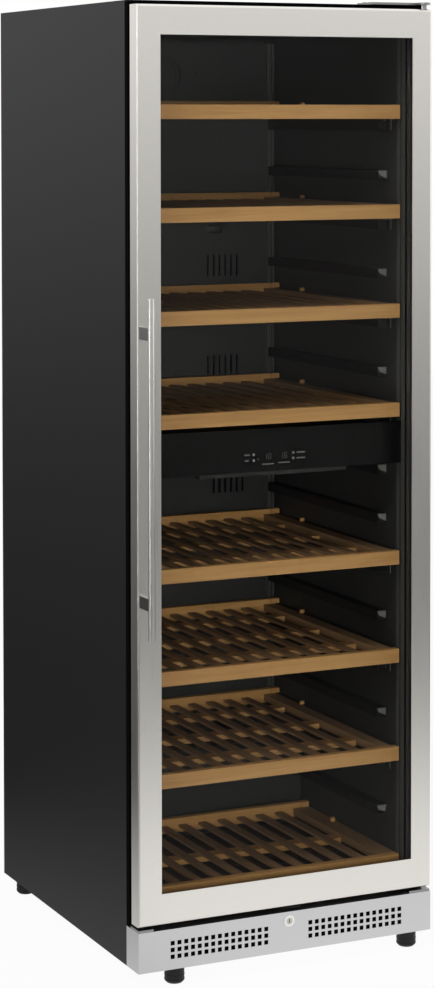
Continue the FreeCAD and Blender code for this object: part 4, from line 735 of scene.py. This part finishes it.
def build_key_icons():
    """A ring, a dot and two arrows on the keys."""
    for name in KEYS:
        low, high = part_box(name)
        middle = (low + high) / 2
        face = low.y - ICON_LIFT

        def ring(shape):
            corners = [[shape.verts.new((middle.x + radius * math.cos(2 * math.pi * side / RING_SIDES), face,
                                         middle.z + radius * math.sin(2 * math.pi * side / RING_SIDES)))
                        for side in range(RING_SIDES)] for radius in (RING_INNER, RING_OUTER)]
            add_band(shape, *corners)

        def dot(shape):
            add_disc(shape, (middle.x, face + LAMP_ICON_THICK, middle.z), (0, -1, 0), LAMP_ICON_RADIUS,
                     LAMP_ICON_THICK, RING_SIDES)

        def arrow(shape):
            way = 1 if name == "key_up" else -1
            shape.faces.new([shape.verts.new((middle.x + x * ARROW_HALF_WIDE, face,
                                              middle.z + way * z * ARROW_HALF_TALL))
                             for x, z in ((-1, -1), (1, -1), (0, 1))])
        icon = {"key_power": ring, "key_light": dot}.get(name, arrow)
        piece(f"{name}_icon", icon, name, PRINT_WHITE)


# Lamps' lenses, painted shade of the screw recesses, and foot rings, in metres

LENSES_IN_ROW = 12
LENS_RADIUS, LENS_THICK, LENS_DOME = 0.0022, 0.0003, 0.0006
# Half length and half width of a cross recess, as shares of the screw head
RECESS_LONG, RECESS_SHORT = 0.3, 0.07
RECESS_THICK = 0.0001
GRIP_RING_BASES = (0.005, 0.0135)
# Section of a grip ring: out from the foot's radius, and up from the ring's base
GRIP_RING_SECTION = ((-0.001, 0.0), (0.0005, 0.0008), (0.0005, 0.0022), (-0.001, 0.003))
GRIP_RING_SIDES = 48


def build_leds():
    """Lamps behind the smoked covers of the two light strips."""
    for number, (low, high) in enumerate(node_islands("light_strips"), start=1):
        middle = (low.y + high.y) / 2

        def row(shape):
            for index in range(LENSES_IN_ROW):
                x = low.x + (high.x - low.x) * (index + 0.5) / LENSES_IN_ROW
                add_disc(shape, (x, middle, low.z), (0, 0, -1), LENS_RADIUS, LENS_THICK, dome=LENS_DOME)
        piece(f"light_row_{number}", row, "cabinet", LED_YELLOW)


def build_screw_recess_shade():
    """Black crosses on the visible screw heads, which face up: painted shade for their cross recesses."""
    def crosses(shape):
        for low, high in node_islands("screws"):
            size = high - low
            middle = (low + high) / 2
            head = min(size.x, size.y)
            if size.z >= head:
                continue
            long, short = head * RECESS_LONG, head * RECESS_SHORT
            for x, y in ((long, short), (short, long)):
                add_block(shape, (middle.x - x, middle.y - y, high.z),
                          (middle.x + x, middle.y + y, high.z + RECESS_THICK))
    piece("screw_recess_shade", crosses, "cabinet", STRIP_BLACK_AND_RECESS_SHADE)


def build_foot_rings():
    """Grip rings round the levelling feet."""
    for name in FEET:
        low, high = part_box(name)
        middle = (low + high) / 2
        radius = (high.x - low.x) / 2

        def rings(shape):
            for base in GRIP_RING_BASES:
                loops = [add_ring(shape, (middle.x, middle.y, base + up), radius + out, GRIP_RING_SIDES)
                         for out, up in GRIP_RING_SECTION]
                for loop, after in zip(loops, loops[1:] + loops[:1]):
                    add_band(shape, loop, after)
        piece(f"{name}_rings", rings, name, FOOT_PLASTIC)


build_gasket()
build_jamb_sheen_strips()
build_corner_channels()
build_shade_sheets()
build_rib_fittings()
build_side_strips()
build_control_print()
build_key_icons()
build_leds()
build_screw_recess_shade()
build_foot_rings()


# Floor, room, lamps and camera

FLOOR_REACH = 9.0
FLOOR_WHITE_SHARE = 0.95
# A painted pool of light on the floor that only gloss sees: its middle, its size, the tone round it and where
# it is full
PAINTED_POOL_MIDDLE = (0.45, -0.7, 0.0)
PAINTED_POOL_SIZE = (2.1, 2.1, 1.0)
PAINTED_POOL_EDGE_TONE = 0.05
PAINTED_POOL_FULL = 0.75

ROOM_TONE = 0.12
CEILING_TONE = 1.15
# Heights in the room, as shares from straight down to straight up, between which its tone changes
ROOM_LOW, ROOM_HIGH = 0.45, 0.53

PHOTO_TALL = 988
FOCAL_ROWS = 2553.69
CENTRE_ROW = 217.4
SENSOR = 36.0
CAMERA_SPOT = (-2.07657, -4.42205, 1.55038)
CAMERA_TURN, CAMERA_TILT, CAMERA_ROLL = 25.2124, -2.2162, 0.0497
CAMERA_REACH = 60.0


def build_floor():
    """Pale floor that reads as white paper and keeps a soft shadow; in gloss it shows a painted pool of
    light.
    """
    mesh = bpy.data.meshes.new("floor")
    mesh.from_pydata([(-FLOOR_REACH, -FLOOR_REACH, 0), (FLOOR_REACH, -FLOOR_REACH, 0),
                      (FLOOR_REACH, FLOOR_REACH, 0), (-FLOOR_REACH, FLOOR_REACH, 0)], [], [(0, 1, 2, 3)])
    floor = bpy.data.objects.new("floor", mesh)
    bpy.context.scene.collection.objects.link(floor)
    material, shader = finish("floor_paper", grey(0.86), 0.8)
    nodes, links = material.node_tree.nodes, material.node_tree.links
    spot = nodes.new("ShaderNodeTexCoord")
    moved = nodes.new("ShaderNodeMapping")
    moved.vector_type = "TEXTURE"
    moved.inputs["Location"].default_value = PAINTED_POOL_MIDDLE
    moved.inputs["Scale"].default_value = PAINTED_POOL_SIZE
    pool = nodes.new("ShaderNodeTexGradient")
    pool.gradient_type = "SPHERICAL"
    tone = nodes.new("ShaderNodeValToRGB")
    tone.color_ramp.elements[0].color = grey(PAINTED_POOL_EDGE_TONE)
    tone.color_ramp.elements[1].position = PAINTED_POOL_FULL
    tone.color_ramp.elements[1].color = grey(1.0)
    path = nodes.new("ShaderNodeLightPath")
    seen = colour_mix(nodes)
    seen.inputs["B"].default_value = grey(1.0)
    share = maths(nodes, "MAXIMUM")
    scaled = maths(nodes, "MULTIPLY", [(1, FLOOR_WHITE_SHARE)])
    paper = nodes.new("ShaderNodeEmission")
    mix = nodes.new("ShaderNodeMixShader")
    links.new(spot.outputs["Object"], moved.inputs["Vector"])
    links.new(moved.outputs["Vector"], pool.inputs["Vector"])
    links.new(pool.outputs["Fac"], tone.inputs["Fac"])
    links.new(path.outputs["Is Camera Ray"], seen.inputs["Factor"])
    links.new(tone.outputs["Color"], seen.inputs["A"])
    links.new(seen.outputs["Result"], paper.inputs["Color"])
    links.new(path.outputs["Is Camera Ray"], share.inputs[0])
    links.new(path.outputs["Is Glossy Ray"], share.inputs[1])
    links.new(share.outputs["Value"], scaled.inputs[0])
    links.new(scaled.outputs["Value"], mix.inputs["Fac"])
    links.new(shader.outputs["BSDF"], mix.inputs[1])
    links.new(paper.outputs["Emission"], mix.inputs[2])
    links.new(mix.outputs["Shader"], nodes["Material Output"].inputs["Surface"])
    mesh.materials.append(material)


def build_world():
    """White to the eye and through glass, a room with a bright ceiling in gloss, and soft grey light."""
    world = bpy.data.worlds.new("studio")
    world.use_nodes = True
    bpy.context.scene.world = world
    nodes, links = world.node_tree.nodes, world.node_tree.links
    room = nodes["Background"]
    spot = nodes.new("ShaderNodeTexCoord")
    parts = nodes.new("ShaderNodeSeparateXYZ")
    ramp = nodes.new("ShaderNodeValToRGB")
    ramp.color_ramp.elements[0].position = ROOM_LOW
    ramp.color_ramp.elements[0].color = grey(ROOM_TONE)
    ramp.color_ramp.elements[1].position = ROOM_HIGH
    ramp.color_ramp.elements[1].color = grey(CEILING_TONE)
    lifted = maths(nodes, "MULTIPLY_ADD", [(1, 0.5), (2, 0.5)])
    links.new(spot.outputs["Generated"], parts.inputs["Vector"])
    links.new(parts.outputs["Z"], lifted.inputs[0])
    links.new(lifted.outputs["Value"], ramp.inputs["Fac"])
    path = nodes.new("ShaderNodeLightPath")
    tone = colour_mix(nodes)
    tone.inputs["A"].default_value = grey(ROOM_TONE)
    links.new(path.outputs["Is Glossy Ray"], tone.inputs["Factor"])
    links.new(ramp.outputs["Color"], tone.inputs["B"])
    links.new(tone.outputs["Result"], room.inputs["Color"])
    room.inputs["Strength"].default_value = 1.0
    paper = nodes.new("ShaderNodeBackground")
    paper.inputs["Color"].default_value = grey(1.0)
    seen = maths(nodes, "MAXIMUM")
    mix = nodes.new("ShaderNodeMixShader")
    links.new(path.outputs["Is Camera Ray"], seen.inputs[0])
    links.new(path.outputs["Is Transmission Ray"], seen.inputs[1])
    links.new(seen.outputs["Value"], mix.inputs["Fac"])
    links.new(room.outputs["Background"], mix.inputs[1])
    links.new(paper.outputs["Background"], mix.inputs[2])
    links.new(mix.outputs["Shader"], nodes["World Output"].inputs["Surface"])


def add_lamp(name, spot, target, size, watts, mirrored=True):
    """A soft rectangular lamp that faces its target, and shows in gloss unless told not to."""
    data = bpy.data.lights.new(name, "AREA")
    data.shape = "RECTANGLE"
    data.size, data.size_y = size
    data.energy = watts
    lamp = bpy.data.objects.new(name, data)
    lamp.location = spot
    lamp.rotation_euler = (Vector(target) - Vector(spot)).to_track_quat("-Z", "Y").to_euler()
    lamp.visible_glossy = mirrored
    bpy.context.scene.collection.objects.link(lamp)


def build_camera():
    """The photograph's viewpoint: place in metres, turn and tilt in degrees."""
    data = bpy.data.cameras.new("camera")
    data.sensor_fit = "VERTICAL"
    data.sensor_height = SENSOR
    data.lens = FOCAL_ROWS / PHOTO_TALL * SENSOR
    data.shift_y = -(PHOTO_TALL / 2 - CENTRE_ROW) / PHOTO_TALL
    data.clip_end = CAMERA_REACH
    camera = bpy.data.objects.new("camera", data)
    turn, tilt, roll = (math.radians(angle) for angle in (CAMERA_TURN, CAMERA_TILT, CAMERA_ROLL))
    view = (Matrix.Rotation(-turn, 4, "Z") @ Matrix.Rotation(math.pi / 2 + tilt, 4, "X")
            @ Matrix.Rotation(-roll, 4, "Z"))
    camera.matrix_world = Matrix.Translation(CAMERA_SPOT) @ view
    bpy.context.scene.collection.objects.link(camera)
    bpy.context.scene.camera = camera


build_floor()
build_world()
add_lamp("key_softbox", spot=(-1.9, -5.2, 1.2), target=(0.0, -0.2, 0.9), size=(1.3, 1.1), watts=164,
         mirrored=False)
add_lamp("left_top_softbox", spot=(-1.7, -1.1, 2.7), target=(-0.1, -0.2, 1.5), size=(1.0, 1.0), watts=32)
add_lamp("left_strip", spot=(-3.6, -0.7, 0.9), target=(-0.3, -0.36, 0.85), size=(0.3, 2.2), watts=11)
add_lamp("right_softbox", spot=(3.4, -1.6, 1.6), target=(0.0, 0.0, 0.9), size=(1.2, 2.2), watts=15)
build_camera()
bpy.context.scene.view_settings.view_transform = "Standard"
